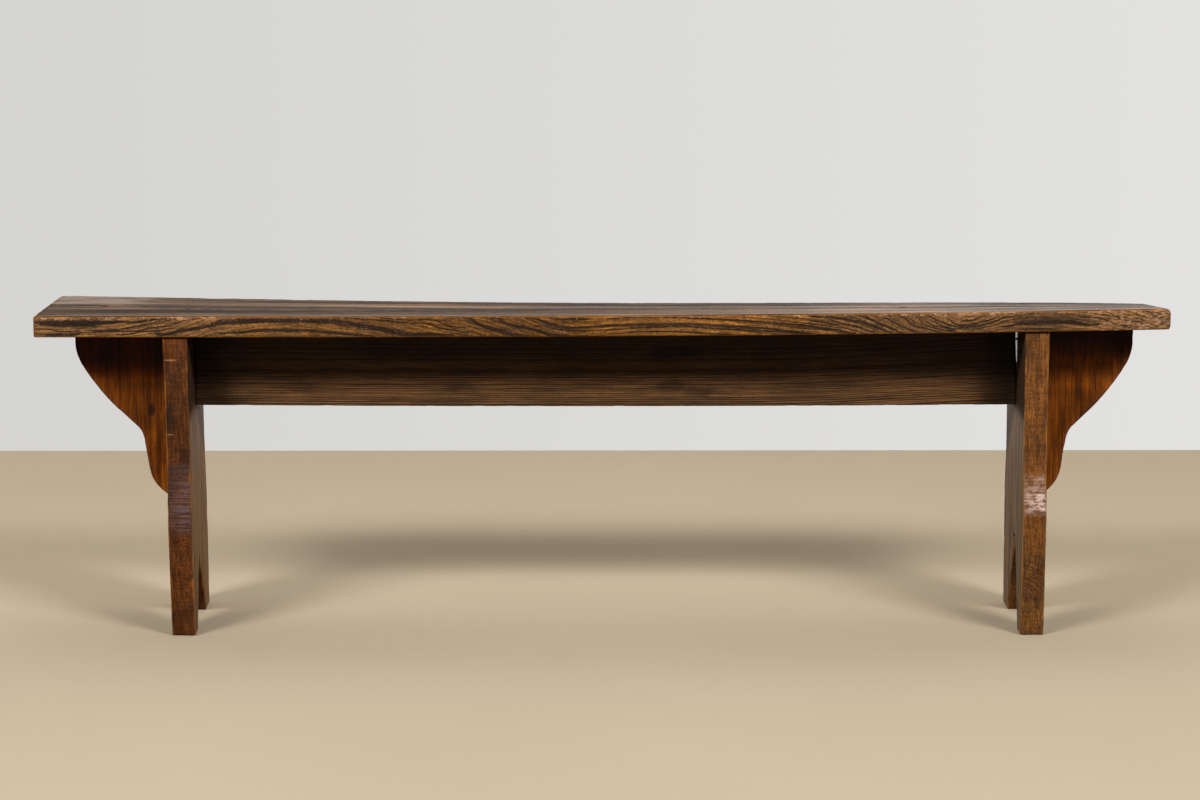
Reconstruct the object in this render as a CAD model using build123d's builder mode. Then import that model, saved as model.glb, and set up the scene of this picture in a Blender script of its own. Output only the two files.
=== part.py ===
# A plank bench: one thick seat plank on two board legs, a rail under its middle and a scrolled
# bracket outside each leg. It is nailed together, old and a little out of true, so the plank is
# in wind and the legs lean.
# The origin is on the floor under the middle of the bench. +X runs along it to the right,
# +Y to the back and +Z up. All sizes are in millimetres.
import os
from build123d import *

os.makedirs("parts", exist_ok=True)

# Seat plank. Its heights are those of the front left corner, and each row of the warp says where
# along the half length it is, and how far the front and the back edge stand off that height.
seat_length = 1550.0
seat_depth = 240.0
seat_thickness = 29.0
seat_height = 445.0
seat_end_skew = 4.0
seat_front_corner_radius = 3.0
seat_back_corner_radius = 8.0
seat_warp = 12.0
seat_warp_shares = (
    (-1.0, 0.0, 0.0),
    (-0.5, -0.02, -0.57),
    (0.0, 0.07, -0.91),
    (0.5, 0.34, -0.88),
    (1.0, 0.87, -1.07),
)

# Legs. A leg's inset is from the plank's end to the middle of the board, at the floor. Lean is how
# far the top stands to the right of the foot, and toe how far the back edge is to the right of the
# front edge.
leg_thickness = 33.0
leg_width = 228.0
leg_foot_width = 230.0
leg_swell = 11.0
leg_swell_radius = 14.0
left_leg_inset = 193.5
left_leg_lean = -5.8
left_leg_toe = -4.5
left_shoulder_height = 240.0
left_swell_height = 150.0
left_notch_height = 96.0
right_leg_inset = 182.2
right_leg_lean = 0.9
right_leg_toe = 3.0
right_shoulder_height = 226.0
right_swell_height = 168.0
right_notch_height = 122.0

# The cut between the feet of a leg, a V with sides that bow outwards a little
front_foot_width = 40.0
back_foot_width = 56.0
notch_apex_share = 0.37
notch_bow = 4.0

# Rail. Its right end is cut a little out of square, so that joint stands open down to its open drop
# below the plank.
rail_thickness = 25.0
rail_drop = 109.5
rail_sag = 2.4
rail_joint_opening = 3.4
rail_joint_open_drop = 78.0

# Brackets. Each row of the scroll says how far out from the leg a point is, as a share of the
# reach, and how far below the plank, as a share of the drop.
bracket_thickness = 25.0
left_bracket_reach = 132.0
right_bracket_reach = 128.0
bracket_drop = 240.0
bracket_lobe_shares = ((1.0, 0.083), (0.884, 0.262), (0.612, 0.45), (0.354, 0.585))
bracket_throat_shares = ((0.354, 0.585), (0.267, 0.733))
bracket_toe_shares = ((0.24, 0.829), (0.168, 0.921), (0.0, 1.0))
bracket_lobe_end_slope_share = 0.96
bracket_neck_slope_share = 6.0
bracket_toe_end_slope_share = 0.6

# Cut nails, with an oblong head and a shank that narrows to its tip
nail_length = 63.5
neck_nail_length = 50.0
nail_head_width = 7.5
nail_head_depth = 4.5
nail_head_height = 1.6
nail_shank_width = 4.2
nail_shank_depth = 3.2
nail_tip_width = 2.2
nail_tip_depth = 1.8
nail_set = 1.2
leg_nail_place_shares = (-0.78, -0.32, 0.32, 0.78)
rail_nail_place_shares = (-0.72, -0.24, 0.24, 0.72)
bracket_nail_place_shares = (0.28, 0.7)
upper_end_nail_drop = 18.5
lower_end_nail_drop = 84.0

# Clearance of the pieces scribed to the warped plank, and how far a cut runs past what it cuts
scribe_gap = 0.1
cut_overrun = 12.0

underside_height = seat_height - seat_thickness
rail_bottom_height = underside_height - rail_drop


def plank_layer(bottom, top):
    """Fill the room between two heights above the plank's warped underside."""
    half_length = seat_length / 2 + cut_overrun
    half_depth = seat_depth / 2
    with BuildPart() as layer:
        for along_share, front_share, back_share in seat_warp_shares:
            front = underside_height + front_share * seat_warp
            back = underside_height + back_share * seat_warp
            station = (along_share * half_length, 0, 0)
            with BuildSketch(Plane(origin=station, x_dir=(0, 1, 0), z_dir=(1, 0, 0))):
                with BuildLine():
                    Polyline(
                        (-half_depth, front + bottom),
                        (half_depth, back + bottom),
                        (half_depth, back + top),
                        (-half_depth, front + top),
                        close=True,
                    )
                make_face()
        loft()
    return layer.part


def plank_top_at(x, y):
    """Give the height of the plank's top at one place, from the nearest rows of its warp."""
    along = x / (seat_length / 2)
    rows = zip(seat_warp_shares, seat_warp_shares[1:])
    near, far = [(a, b) for a, b in rows if a[0] <= along <= b[0]][0]
    part_way = (along - near[0]) / (far[0] - near[0])
    front = near[1] + part_way * (far[1] - near[1])
    back = near[2] + part_way * (far[2] - near[2])
    from_front = y / seat_depth + 1 / 2
    return seat_height + seat_warp * (front + from_front * (back - front))


def leg_plane(floor_x, lean, toe):
    """Give the plane of a leg board's middle: x to the back, y up the board, z to the right."""
    up = Vector(lean, 0, underside_height)
    back = Vector(toe, leg_foot_width, 0)
    return Plane(origin=(floor_x, 0, 0), x_dir=back, z_dir=back.cross(up))


left_plane = leg_plane(left_leg_inset - seat_length / 2, left_leg_lean, left_leg_toe)
left_outer = left_plane.offset(-leg_thickness / 2)
left_inner = left_plane.offset(leg_thickness / 2)
right_plane = leg_plane(seat_length / 2 - right_leg_inset, right_leg_lean, right_leg_toe)
right_outer = right_plane.offset(leg_thickness / 2)
right_inner = right_plane.offset(-leg_thickness / 2)

# The room over the plank's underside, which trims the top of every piece below
above_underside = plank_layer(-scribe_gap, 2 * seat_thickness + cut_overrun)


def nail_down(x, y):
    """Give the plane of a nail's head that is driven down through the plank."""
    return Plane(origin=(x, y, plank_top_at(x, y) - nail_set), x_dir=(1, 0, 0), z_dir=(0, 0, 1))


def nail_level(face, height, sink, toward_x):
    """Give the plane of a nail's head driven level along X, sunk below a leg's face."""
    x = face.from_local_coords((0, height, 0)).X
    return Plane(origin=(x + toward_x * sink, 0, height), x_dir=(0, 1, 0), z_dir=(-toward_x, 0, 0))


def make_nails(head_planes, length):
    """Give one nail for each plane, its head's top on the plane and its tip behind it."""
    with BuildPart() as nails:
        for head in head_planes:
            with BuildSketch(head):
                Rectangle(nail_head_width, nail_head_depth)
            extrude(amount=-nail_head_height)
            with BuildSketch(head.offset(-nail_head_height)):
                Rectangle(nail_shank_width, nail_shank_depth)
            with BuildSketch(head.offset(-length)):
                Rectangle(nail_tip_width, nail_tip_depth)
            loft()
    return nails.part


def make_dents(head_planes):
    """Give the room over each sunk nail head."""
    with BuildPart() as dents:
        with BuildSketch(*head_planes):
            Rectangle(nail_head_width, nail_head_depth)
        extrude(amount=cut_overrun)
    return dents.part


# Nails down through the plank into the legs
nail_height = underside_height - nail_length / 2
left_leg_x = left_plane.from_local_coords((0, nail_height, 0)).X
right_leg_x = right_plane.from_local_coords((0, nail_height, 0)).X
leg_nail_places = [share * leg_width / 2 for share in leg_nail_place_shares]
left_leg_heads = [nail_down(left_leg_x, y) for y in leg_nail_places]
right_leg_heads = [nail_down(right_leg_x, y) for y in leg_nail_places]

with BuildPart() as seat_to_left_leg_nails:
    add(make_nails(left_leg_heads, nail_length))

with BuildPart() as seat_to_right_leg_nails:
    add(make_nails(right_leg_heads, nail_length))

# Nails down through the plank into the rail
rail_middle = (left_leg_x + right_leg_x) / 2
rail_half_length = (right_leg_x - left_leg_x - leg_thickness) / 2
rail_nail_places = [rail_middle + share * rail_half_length for share in rail_nail_place_shares]
rail_heads = [nail_down(x, 0) for x in rail_nail_places]

with BuildPart() as seat_to_rail_nails:
    add(make_nails(rail_heads, nail_length))

# Nails level through each leg into the rail's end
end_nail_heights = [underside_height - drop for drop in (upper_end_nail_drop, lower_end_nail_drop)]
left_end_heads = [nail_level(left_outer, height, nail_set, 1) for height in end_nail_heights]
right_end_heads = [nail_level(right_outer, height, nail_set, -1) for height in end_nail_heights]

with BuildPart() as left_leg_to_rail_nails:
    add(make_nails(left_end_heads, nail_length))

with BuildPart() as right_leg_to_rail_nails:
    add(make_nails(right_end_heads, nail_length))

# Nails of the brackets: down through the plank, and level through the neck into the leg
left_face_x = left_outer.from_local_coords((0, nail_height, 0)).X
right_face_x = right_outer.from_local_coords((0, nail_height, 0)).X
left_top_heads = [nail_down(left_face_x - s * left_bracket_reach, 0) for s in bracket_nail_place_shares]
right_top_heads = [nail_down(right_face_x + s * right_bracket_reach, 0) for s in bracket_nail_place_shares]
neck_reach_share, neck_drop_share = bracket_toe_shares[0]
neck_height = underside_height - neck_drop_share * bracket_drop
left_neck_sink = nail_set - neck_reach_share * left_bracket_reach
right_neck_sink = nail_set - neck_reach_share * right_bracket_reach
left_neck_heads = [nail_level(left_outer, neck_height, left_neck_sink, 1)]
right_neck_heads = [nail_level(right_outer, neck_height, right_neck_sink, -1)]

with BuildPart() as left_bracket_nails:
    add(make_nails(left_top_heads, nail_length))
    add(make_nails(left_neck_heads, neck_nail_length))

with BuildPart() as right_bracket_nails:
    add(make_nails(right_top_heads, nail_length))
    add(make_nails(right_neck_heads, neck_nail_length))

# Seat plank: a slice of the warped layer, with ends a little out of square
with BuildPart() as seat_plank:
    add(plank_layer(0, seat_thickness))
    with BuildSketch(Plane.XY.offset(underside_height - seat_thickness)):
        half_length = seat_length / 2
        half_depth = seat_depth / 2
        half_skew = seat_end_skew / 2
        with BuildLine():
            Polyline(
                (-half_length - half_skew, -half_depth),
                (half_length - half_skew, -half_depth),
                (half_length + half_skew, half_depth),
                (-half_length + half_skew, half_depth),
                close=True,
            )
        make_face()
        front_corners, back_corners = vertices().group_by(Axis.Y)
        fillet(front_corners, seat_front_corner_radius)
        fillet(back_corners, seat_back_corner_radius)
    extrude(amount=3 * seat_thickness, mode=Mode.INTERSECT)
    add(seat_to_left_leg_nails.part, mode=Mode.SUBTRACT)
    add(make_dents(left_leg_heads), mode=Mode.SUBTRACT)
    add(seat_to_right_leg_nails.part, mode=Mode.SUBTRACT)
    add(make_dents(right_leg_heads), mode=Mode.SUBTRACT)
    add(seat_to_rail_nails.part, mode=Mode.SUBTRACT)
    add(make_dents(rail_heads), mode=Mode.SUBTRACT)
    add(left_bracket_nails.part, mode=Mode.SUBTRACT)
    add(make_dents(left_top_heads), mode=Mode.SUBTRACT)
    add(right_bracket_nails.part, mode=Mode.SUBTRACT)
    add(make_dents(right_top_heads), mode=Mode.SUBTRACT)


def make_leg(plane, shoulder_height, swell_height, notch_height):
    """Give a leg board: straight above its shoulders, a swelling below and a V between the feet."""
    half_width = leg_width / 2
    half_foot = leg_foot_width / 2
    half_swell = half_width + leg_swell
    front_toe = front_foot_width - half_foot
    back_toe = half_foot - back_foot_width
    apex = front_toe + notch_apex_share * (back_toe - front_toe)
    with BuildPart() as leg:
        with BuildSketch(plane.offset(-leg_thickness / 2)):
            with BuildLine():
                Polyline(
                    (-half_foot, -cut_overrun),
                    (-half_foot, 0),
                    (-half_swell, swell_height),
                    (-half_width, shoulder_height),
                    (-half_width, seat_height + seat_warp),
                    (half_width, seat_height + seat_warp),
                    (half_width, shoulder_height),
                    (half_swell, swell_height),
                    (half_foot, 0),
                    (half_foot, -cut_overrun),
                    close=True,
                )
            make_face()
            bends = vertices().filter_by_position(Axis.Y, swell_height, shoulder_height)
            fillet(bends, leg_swell_radius)
            with BuildLine():
                front_middle = ((front_toe + apex) / 2 - notch_bow, notch_height / 2)
                back_middle = ((back_toe + apex) / 2 + notch_bow, notch_height / 2)
                Line((back_toe, -cut_overrun), (front_toe, -cut_overrun))
                Line((front_toe, -cut_overrun), (front_toe, 0))
                ThreePointArc((front_toe, 0), front_middle, (apex, notch_height))
                ThreePointArc((apex, notch_height), back_middle, (back_toe, 0))
                Line((back_toe, 0), (back_toe, -cut_overrun))
            make_face(mode=Mode.SUBTRACT)
        extrude(amount=leg_thickness)
        split(bisect_by=Plane.XY, keep=Keep.TOP)
        add(above_underside, mode=Mode.SUBTRACT)
    return leg.part


with BuildPart() as left_leg:
    add(make_leg(left_plane, left_shoulder_height, left_swell_height, left_notch_height))
    add(left_leg_to_rail_nails.part, mode=Mode.SUBTRACT)
    add(make_dents(left_end_heads), mode=Mode.SUBTRACT)
    add(seat_to_left_leg_nails.part, mode=Mode.SUBTRACT)
    add(left_bracket_nails.part, mode=Mode.SUBTRACT)

with BuildPart() as right_leg:
    add(make_leg(right_plane, right_shoulder_height, right_swell_height, right_notch_height))
    add(right_leg_to_rail_nails.part, mode=Mode.SUBTRACT)
    add(make_dents(right_end_heads), mode=Mode.SUBTRACT)
    add(seat_to_right_leg_nails.part, mode=Mode.SUBTRACT)
    add(right_bracket_nails.part, mode=Mode.SUBTRACT)

# Rail: a board on edge between the inner faces of the legs, its lower edge sagging a little
joint_foot = right_inner.from_local_coords((0, underside_height - rail_joint_open_drop, 0))
open_end = Plane(origin=joint_foot, x_dir=(0, 1, 0), z_dir=(rail_joint_open_drop, 0, rail_joint_opening))

with BuildPart() as centre_rail:
    rail_left = left_leg_x
    rail_right = right_leg_x
    with BuildSketch(Plane.XZ.offset(-rail_thickness / 2)):
        with BuildLine():
            ThreePointArc(
                (rail_left, rail_bottom_height),
                (rail_middle, rail_bottom_height - rail_sag),
                (rail_right, rail_bottom_height),
            )
            Line((rail_right, rail_bottom_height), (rail_right, seat_height))
            Line((rail_right, seat_height), (rail_left, seat_height))
            Line((rail_left, seat_height), (rail_left, rail_bottom_height))
        make_face()
    extrude(amount=rail_thickness)
    split(bisect_by=left_inner, keep=Keep.TOP)
    split(bisect_by=right_inner, keep=Keep.BOTTOM)
    split(bisect_by=open_end, keep=Keep.BOTTOM)
    add(above_underside, mode=Mode.SUBTRACT)
    add(seat_to_rail_nails.part, mode=Mode.SUBTRACT)
    add(left_leg_to_rail_nails.part, mode=Mode.SUBTRACT)
    add(right_leg_to_rail_nails.part, mode=Mode.SUBTRACT)


def make_bracket(side, reach):
    """Give a bracket whose outline runs out from the leg's face at the side plane's origin."""
    lobe = [(out * reach, underside_height - down * bracket_drop) for out, down in bracket_lobe_shares]
    throat = [(out * reach, underside_height - down * bracket_drop) for out, down in bracket_throat_shares]
    toe = [(out * reach, underside_height - down * bracket_drop) for out, down in bracket_toe_shares]
    lobe_end = (-1, -bracket_lobe_end_slope_share)
    neck_line = (-1, -bracket_neck_slope_share)
    toe_end = (-1, -bracket_toe_end_slope_share)
    with BuildPart() as bracket:
        with BuildSketch(side):
            with BuildLine():
                Line((reach, seat_height), lobe[0])
                Spline(*lobe, tangents=((0, -1), lobe_end))
                Spline(*throat, tangents=(lobe_end, neck_line))
                Line(throat[-1], toe[0])
                Spline(*toe, tangents=(neck_line, toe_end))
                Line(toe[-1], (-leg_thickness / 2, toe[-1][1]))
                Line((-leg_thickness / 2, toe[-1][1]), (-leg_thickness / 2, seat_height))
                Line((-leg_thickness / 2, seat_height), (reach, seat_height))
            make_face()
        extrude(amount=bracket_thickness)
        add(above_underside, mode=Mode.SUBTRACT)
    return bracket.part


left_side = Plane(origin=(left_face_x, -bracket_thickness / 2, 0), x_dir=(-1, 0, 0), z_dir=(0, 1, 0))
right_side = Plane(origin=(right_face_x, bracket_thickness / 2, 0), x_dir=(1, 0, 0), z_dir=(0, -1, 0))

with BuildPart() as left_bracket:
    add(make_bracket(left_side, left_bracket_reach))
    split(bisect_by=left_outer, keep=Keep.BOTTOM)
    add(left_bracket_nails.part, mode=Mode.SUBTRACT)
    add(make_dents(left_neck_heads), mode=Mode.SUBTRACT)

with BuildPart() as right_bracket:
    add(make_bracket(right_side, right_bracket_reach))
    split(bisect_by=right_outer, keep=Keep.TOP)
    add(right_bracket_nails.part, mode=Mode.SUBTRACT)
    add(make_dents(right_neck_heads), mode=Mode.SUBTRACT)

# Label each piece and write it out
pieces = {
    "seat_plank": seat_plank,
    "left_leg": left_leg,
    "right_leg": right_leg,
    "centre_rail": centre_rail,
    "left_bracket": left_bracket,
    "right_bracket": right_bracket,
    "seat_to_left_leg_nails": seat_to_left_leg_nails,
    "seat_to_right_leg_nails": seat_to_right_leg_nails,
    "seat_to_rail_nails": seat_to_rail_nails,
    "left_leg_to_rail_nails": left_leg_to_rail_nails,
    "right_leg_to_rail_nails": right_leg_to_rail_nails,
    "left_bracket_nails": left_bracket_nails,
    "right_bracket_nails": right_bracket_nails,
}
for name, piece in pieces.items():
    piece.part.label = name
    export_step(piece.part, f"parts/{name}.step")
    size = piece.part.bounding_box()
    print(name, len(piece.part.solids()), "solids,", size.min, size.max)
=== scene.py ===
# %% [markdown]
# A long plank bench, nailed together from six boards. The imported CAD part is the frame: it fixes where
# every board and nail goes. Everything below dresses that frame with boards that have worn arrises,
# dents and real grain, and leaves its sizes alone.
# %% Load the frame
import math

import bmesh
import bpy
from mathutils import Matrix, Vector, noise
from mathutils.kdtree import KDTree


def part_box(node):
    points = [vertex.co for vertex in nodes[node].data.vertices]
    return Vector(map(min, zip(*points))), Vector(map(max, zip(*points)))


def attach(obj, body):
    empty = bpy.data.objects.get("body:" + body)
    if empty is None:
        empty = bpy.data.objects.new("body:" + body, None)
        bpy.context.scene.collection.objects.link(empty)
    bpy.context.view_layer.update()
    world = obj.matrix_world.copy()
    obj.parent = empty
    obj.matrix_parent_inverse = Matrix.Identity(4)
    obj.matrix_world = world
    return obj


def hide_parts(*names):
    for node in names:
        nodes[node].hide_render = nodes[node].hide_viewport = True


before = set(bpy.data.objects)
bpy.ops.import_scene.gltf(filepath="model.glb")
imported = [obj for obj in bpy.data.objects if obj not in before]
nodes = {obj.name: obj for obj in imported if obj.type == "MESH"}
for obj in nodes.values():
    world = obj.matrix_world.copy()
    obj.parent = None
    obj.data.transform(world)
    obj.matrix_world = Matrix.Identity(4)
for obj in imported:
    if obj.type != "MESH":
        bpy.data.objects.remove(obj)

scene = bpy.context.scene
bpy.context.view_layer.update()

# %% [markdown]
# The photograph was taken from far away with a long lens, a little above the seat, so the bench hardly
# narrows towards the back. The camera comes first, because every later look is judged through it. Its
# height and tilt were fitted to the corners of the seat and the feet.
# %% Place the camera
camera_data = bpy.data.cameras.new("bench_camera")
camera_data.sensor_width = 36
camera_data.lens = 108
camera = bpy.data.objects.new("bench_camera", camera_data)
camera.location = (-0.0265, -4.9824, 1.0589)
camera.rotation_euler = (math.radians(90 - 8.5308), 0, math.radians(-0.2518))
scene.collection.objects.link(camera)
scene.camera = camera
scene.view_settings.view_transform = "Standard"
print("camera height in m:", round(camera.location.z, 2))

# %% [markdown]
# Colours are easiest to write as they are read from a picture, from 0 to 255. Blender's shaders want
# light itself, so one small function turns the first into the second. The others are short words for
# the few kinds of shader node that every finish below is put together from, so that a finish reads
# like a recipe. All of them add to the node tree that is being worked on.
# %% Write colours as they are seen, and name the steps of a finish


def seen(red, green, blue):
    """A colour as a picture shows it, from 0 to 255, turned into the light that a shader wants."""
    light = [((part / 255 + 0.055) / 1.055) ** 2.4 for part in (red, green, blue)]
    return (*light, 1)


def work_on(tree):
    """Makes this the node tree that the functions below add to."""
    global tree_at_hand
    tree_at_hand = tree


def put(kind, values=None, **options):
    """Adds a shader node, sets its options, and sets its sockets or links them to other nodes."""
    node = tree_at_hand.nodes.new("ShaderNode" + kind)
    for option, choice in options.items():
        setattr(node, option, choice)
    for socket, value in (values or {}).items():
        if isinstance(value, bpy.types.NodeSocket):
            tree_at_hand.links.new(value, node.inputs[socket])
        else:
            node.inputs[socket].default_value = value
    return node


def give(label, value):
    """Links a value or a shader to a named socket of the tree's output."""
    way_out = next(node for node in tree_at_hand.nodes if "Output" in node.bl_idname)
    tree_at_hand.links.new(value, way_out.inputs[label])


def new_finish(name):
    """A material with an empty node tree, which is then worked on."""
    material = bpy.data.materials.new(name)
    material.use_nodes = True
    material.node_tree.nodes.clear()
    work_on(material.node_tree)
    put("OutputMaterial")
    return material


def reckon(operation, first, second=0.0, third=0.0):
    """A Math node's result."""
    return put("Math", {0: first, 1: second, 2: third}, operation=operation).outputs[0]


def times(first, *others):
    """Values multiplied with one another."""
    for other in others:
        first = reckon("MULTIPLY", first, other)
    return first


def plus(first, *others):
    """Values added up."""
    for other in others:
        first = reckon("ADD", first, other)
    return first


def minus(first, second):
    """One value less another."""
    return reckon("SUBTRACT", first, second)


def times_plus(first, second, third):
    """The first two values multiplied, and the third added."""
    return reckon("MULTIPLY_ADD", first, second, third)


def most(first, *others):
    """The largest of some values."""
    for other in others:
        first = reckon("MAXIMUM", first, other)
    return first


def numbers_of(place):
    """The three numbers of a place."""
    return put("SeparateXYZ", {0: place}).outputs


def joined(x=0.0, y=0.0, z=0.0):
    """A place made from three numbers."""
    return put("CombineXYZ", {0: x, 1: y, 2: z}).outputs[0]


def mottle(place, detail, roughness=0.5, scale=1.0):
    """A soft random pattern between 0 and 1."""
    sockets = {"Vector": place, "Scale": scale, "Detail": detail, "Roughness": roughness}
    return put("TexNoise", sockets).outputs[0]


def tint_over(share, under, over, blend="MIX"):
    """Lays one colour over another by a share."""
    return put("Mix", {0: share, 6: under, 7: over}, data_type="RGBA", blend_type=blend).outputs[2]


print("a mid grey is", round(seen(128, 128, 128)[0], 3), "of white")

# %% [markdown]
# The bench stands on a plain pale floor in front of a plain pale wall. Both are single grids. The wall
# shows its own even colour to the camera and to glossy reflections, since the sheen on the seat is the
# wall mirrored in the varnish. Seen from behind it is clear, so that it never hides the bench. The floor
# keeps the bench's shadow, and throws less light back up than it shows, as the dark room did.
# %% Build the floor and the wall


def plain_sheet(name, size, turn, place):
    """A square grid of the stage, turned about X and moved to its place."""
    sheet = bmesh.new()
    bmesh.ops.create_grid(sheet, x_segments=4, y_segments=4, size=size / 2)
    mesh = bpy.data.meshes.new(name)
    sheet.to_mesh(mesh)
    sheet.free()
    stage_object = bpy.data.objects.new(name, mesh)
    stage_object.rotation_euler = (turn, 0, 0)
    stage_object.location = place
    scene.collection.objects.link(stage_object)
    return stage_object


floor = plain_sheet("floor", 30, 0, (0, 0, 0))
wall = plain_sheet("wall", 30, math.radians(90), (0, 1.46, 15))
wall.visible_shadow = False
wall_grey = seen(219, 218, 215)

floor_finish = new_finish("floor_finish")
floor_cloud = mottle(put("TexCoord").outputs["Object"], 3, scale=1.3)
floor_tone = tint_over(floor_cloud, seen(184, 168, 143), seen(195, 179, 154))
camera_rays = put("LightPath").outputs["Is Camera Ray"]
floor_colour = tint_over(camera_rays, seen(112, 102, 86), floor_tone)
give("Surface", put("BsdfDiffuse", {"Color": floor_colour}).outputs[0])
floor.data.materials.append(floor_finish)

wall_finish = new_finish("wall_finish")
rays = put("LightPath").outputs
shown = most(rays["Is Camera Ray"], rays["Is Glossy Ray"])
wall_across = numbers_of(put("TexCoord").outputs["Object"])[0]
wall_share = put("MapRange", {"Value": wall_across, "From Min": -1.0, "From Max": 1.0}).outputs[0]
wall_tone = tint_over(wall_share, seen(213, 212, 209), seen(226, 225, 224))
matt = put("BsdfDiffuse", {"Color": wall_grey}).outputs[0]
even = put("Emission", {"Color": wall_tone, "Strength": 1}).outputs[0]
front = put("MixShader", {0: shown, 1: matt, 2: even}).outputs[0]
behind = times(rays["Is Camera Ray"], put("NewGeometry").outputs["Backfacing"])
clear = put("BsdfTransparent").outputs[0]
give("Surface", put("MixShader", {0: behind, 1: front, 2: clear}).outputs[0])
wall.data.materials.append(wall_finish)
print("stage:", floor.name, wall.name)

# %% [markdown]
# The shadows of the photograph tell how it was lit: the seat's shadow lies half a metre behind the
# bench and each foot throws a soft shadow to both sides. So there are two broad soft lamps in front,
# left and right, a little higher than the camera, and a weak wide one overhead for the ceiling.
# %% Hang two soft lamps and light the room


def soft_lamp(name, place, size, power):
    """A broad lamp turned to look at the middle of the bench."""
    lamp_data = bpy.data.lights.new(name, "AREA")
    lamp_data.shape = "RECTANGLE"
    lamp_data.size, lamp_data.size_y = size
    lamp_data.energy = power
    lamp = bpy.data.objects.new(name, lamp_data)
    lamp.location = place
    lamp.rotation_euler = (Vector((0, 0.1, 0.3)) - lamp.location).to_track_quat("-Z", "Y").to_euler()
    scene.collection.objects.link(lamp)
    return lamp


left_lamp = soft_lamp("left_lamp", (-3.4, -4.6, 4.0), (1.85, 1.3), 300)
right_lamp = soft_lamp("right_lamp", (3.4, -4.6, 4.0), (1.85, 1.3), 300)
ceiling_lamp = soft_lamp("ceiling_lamp", (0, 0.9, 3.6), (4.5, 3.0), 32)

room = bpy.data.worlds.new("room")
room.use_nodes = True
scene.world = room
room.node_tree.nodes.clear()
work_on(room.node_tree)
put("OutputWorld")
camera_rays = put("LightPath").outputs["Is Camera Ray"]
room_light = put("Background", {"Color": (0.95, 0.97, 1, 1), "Strength": 0.08}).outputs[0]
room_seen = put("Background", {"Color": wall_grey, "Strength": 1}).outputs[0]
give("Surface", put("MixShader", {0: camera_rays, 1: room_light, 2: room_seen}).outputs[0])
print("lamps:", left_lamp.name, right_lamp.name, ceiling_lamp.name)

# %% [markdown]
# Before any board is drawn, the frame is measured. A ray shot at a CAD node says where its surface is,
# so each new board follows the outline that the CAD part already has and no size is written twice.
# %% Measure the frame with rays


def cast(node, start, way):
    """Where a ray from start meets a CAD node."""
    met, place, _, _ = nodes[node].ray_cast(Vector(start), Vector(way))
    if not met:
        raise ValueError("no surface of " + node + " from " + str(start))
    return place


def flat_face(axis, first, second, third):
    """A flat face through three points: a function that gives a point's coordinate along one axis."""
    normal = (second - first).cross(third - first)

    def height(point):
        slope = sum(normal[other] * (point[other] - first[other]) for other in range(3) if other != axis)
        return first[axis] - slope / normal[axis]

    return height


def between(low, high, share):
    """The value that lies a share of the way from low to high."""
    return low + (high - low) * share


def held(value, low=0.0, high=1.0):
    """The value, held between two limits."""
    return max(low, min(high, value))


seat_front_left = cast("seat_plank", (-0.7, -0.112, 1), (0, 0, -1))
print("seat height at the front left in mm:", round(1000 * seat_front_left.z, 1))

# %% [markdown]
# Each board carries two things in its mesh for its finish. "board" is a place in the straight board as
# it was sawn: along the grain, across it and through the thickness, so that the grain bends with a
# board that has warped. "arris" is 1 on a sharp edge and falls to 0 a few millimetres away, where the
# varnish is no longer worn.
# %% Mark places and arrises on a board

arris_reach = 0.005
arris_flat = 0.001
broad_waves, rough_waves, bite_waves = 16, 75, 42


def mark_places(board, place_of):
    """Writes each vertex's place in the straight board."""
    layer = board.verts.layers.float_vector.new("board")
    for vertex in board.verts:
        vertex[layer] = place_of(vertex.co)


def mark_arrises(board, distance_of):
    """Writes how near each vertex is to a sharp edge."""
    layer = board.verts.layers.float.new("arris")
    for vertex in board.verts:
        vertex[layer] = held(1 - (distance_of(vertex.co) - arris_flat) / arris_reach)


def edge_finder(edges, spacing=0.0015):
    """A function that gives the distance to the nearest of these edges."""
    points = []
    for edge in edges:
        first, last = (vertex.co.copy() for vertex in edge.verts)
        steps = max(1, math.ceil((last - first).length / spacing))
        points.extend(first.lerp(last, step / steps) for step in range(steps + 1))
    tree = KDTree(len(points))
    for number, point in enumerate(points):
        tree.insert(point, number)
    tree.balance()
    return lambda place: tree.find(place)[2]


def weather(board, seed, face_depth, arris_depth, still=None):
    """Wears a board: its faces lose a little unevenly, its arrises more, with bites here and there."""
    arris = board.verts.layers.float["arris"]
    board.normal_update()
    worn = []
    for vertex in board.verts:
        near = vertex[arris]
        place = vertex.co + Vector((seed, 2 * seed, 3 * seed))
        broad = 0.5 + 0.5 * noise.noise(place * broad_waves)
        rough = abs(noise.noise(place * rough_waves))
        bite = max(0, noise.noise(place * bite_waves) - 0.22)
        depth = face_depth * broad * (1 - near) + arris_depth * near * near * (
            0.2 + 0.6 * rough + 2.6 * bite
        )
        if still and still(vertex.co):
            depth = 0
        worn.append(vertex.normal * -depth)
    for vertex, move in zip(board.verts, worn):
        vertex.co += move


def finish_board(board, name, material):
    """Turns a board into a piece that rides with the bench and stands for its CAD node."""
    bmesh.ops.recalc_face_normals(board, faces=board.faces[:])
    open_edges = sum(1 for edge in board.edges if not edge.is_manifold)
    for face in board.faces:
        face.smooth = True
    mesh = bpy.data.meshes.new(name + "_board")
    board.to_mesh(mesh)
    board.free()
    mesh.materials.append(material)
    piece = bpy.data.objects.new(name + "_board", mesh)
    scene.collection.objects.link(piece)
    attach(piece, "root")
    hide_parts(name)
    triangles = sum(len(polygon.vertices) - 2 for polygon in mesh.polygons)
    print(name, "has", triangles, "triangles and", open_edges, "open edges")


print("arris wear reaches", round(1000 * arris_reach, 1), "mm from an edge")

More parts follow.
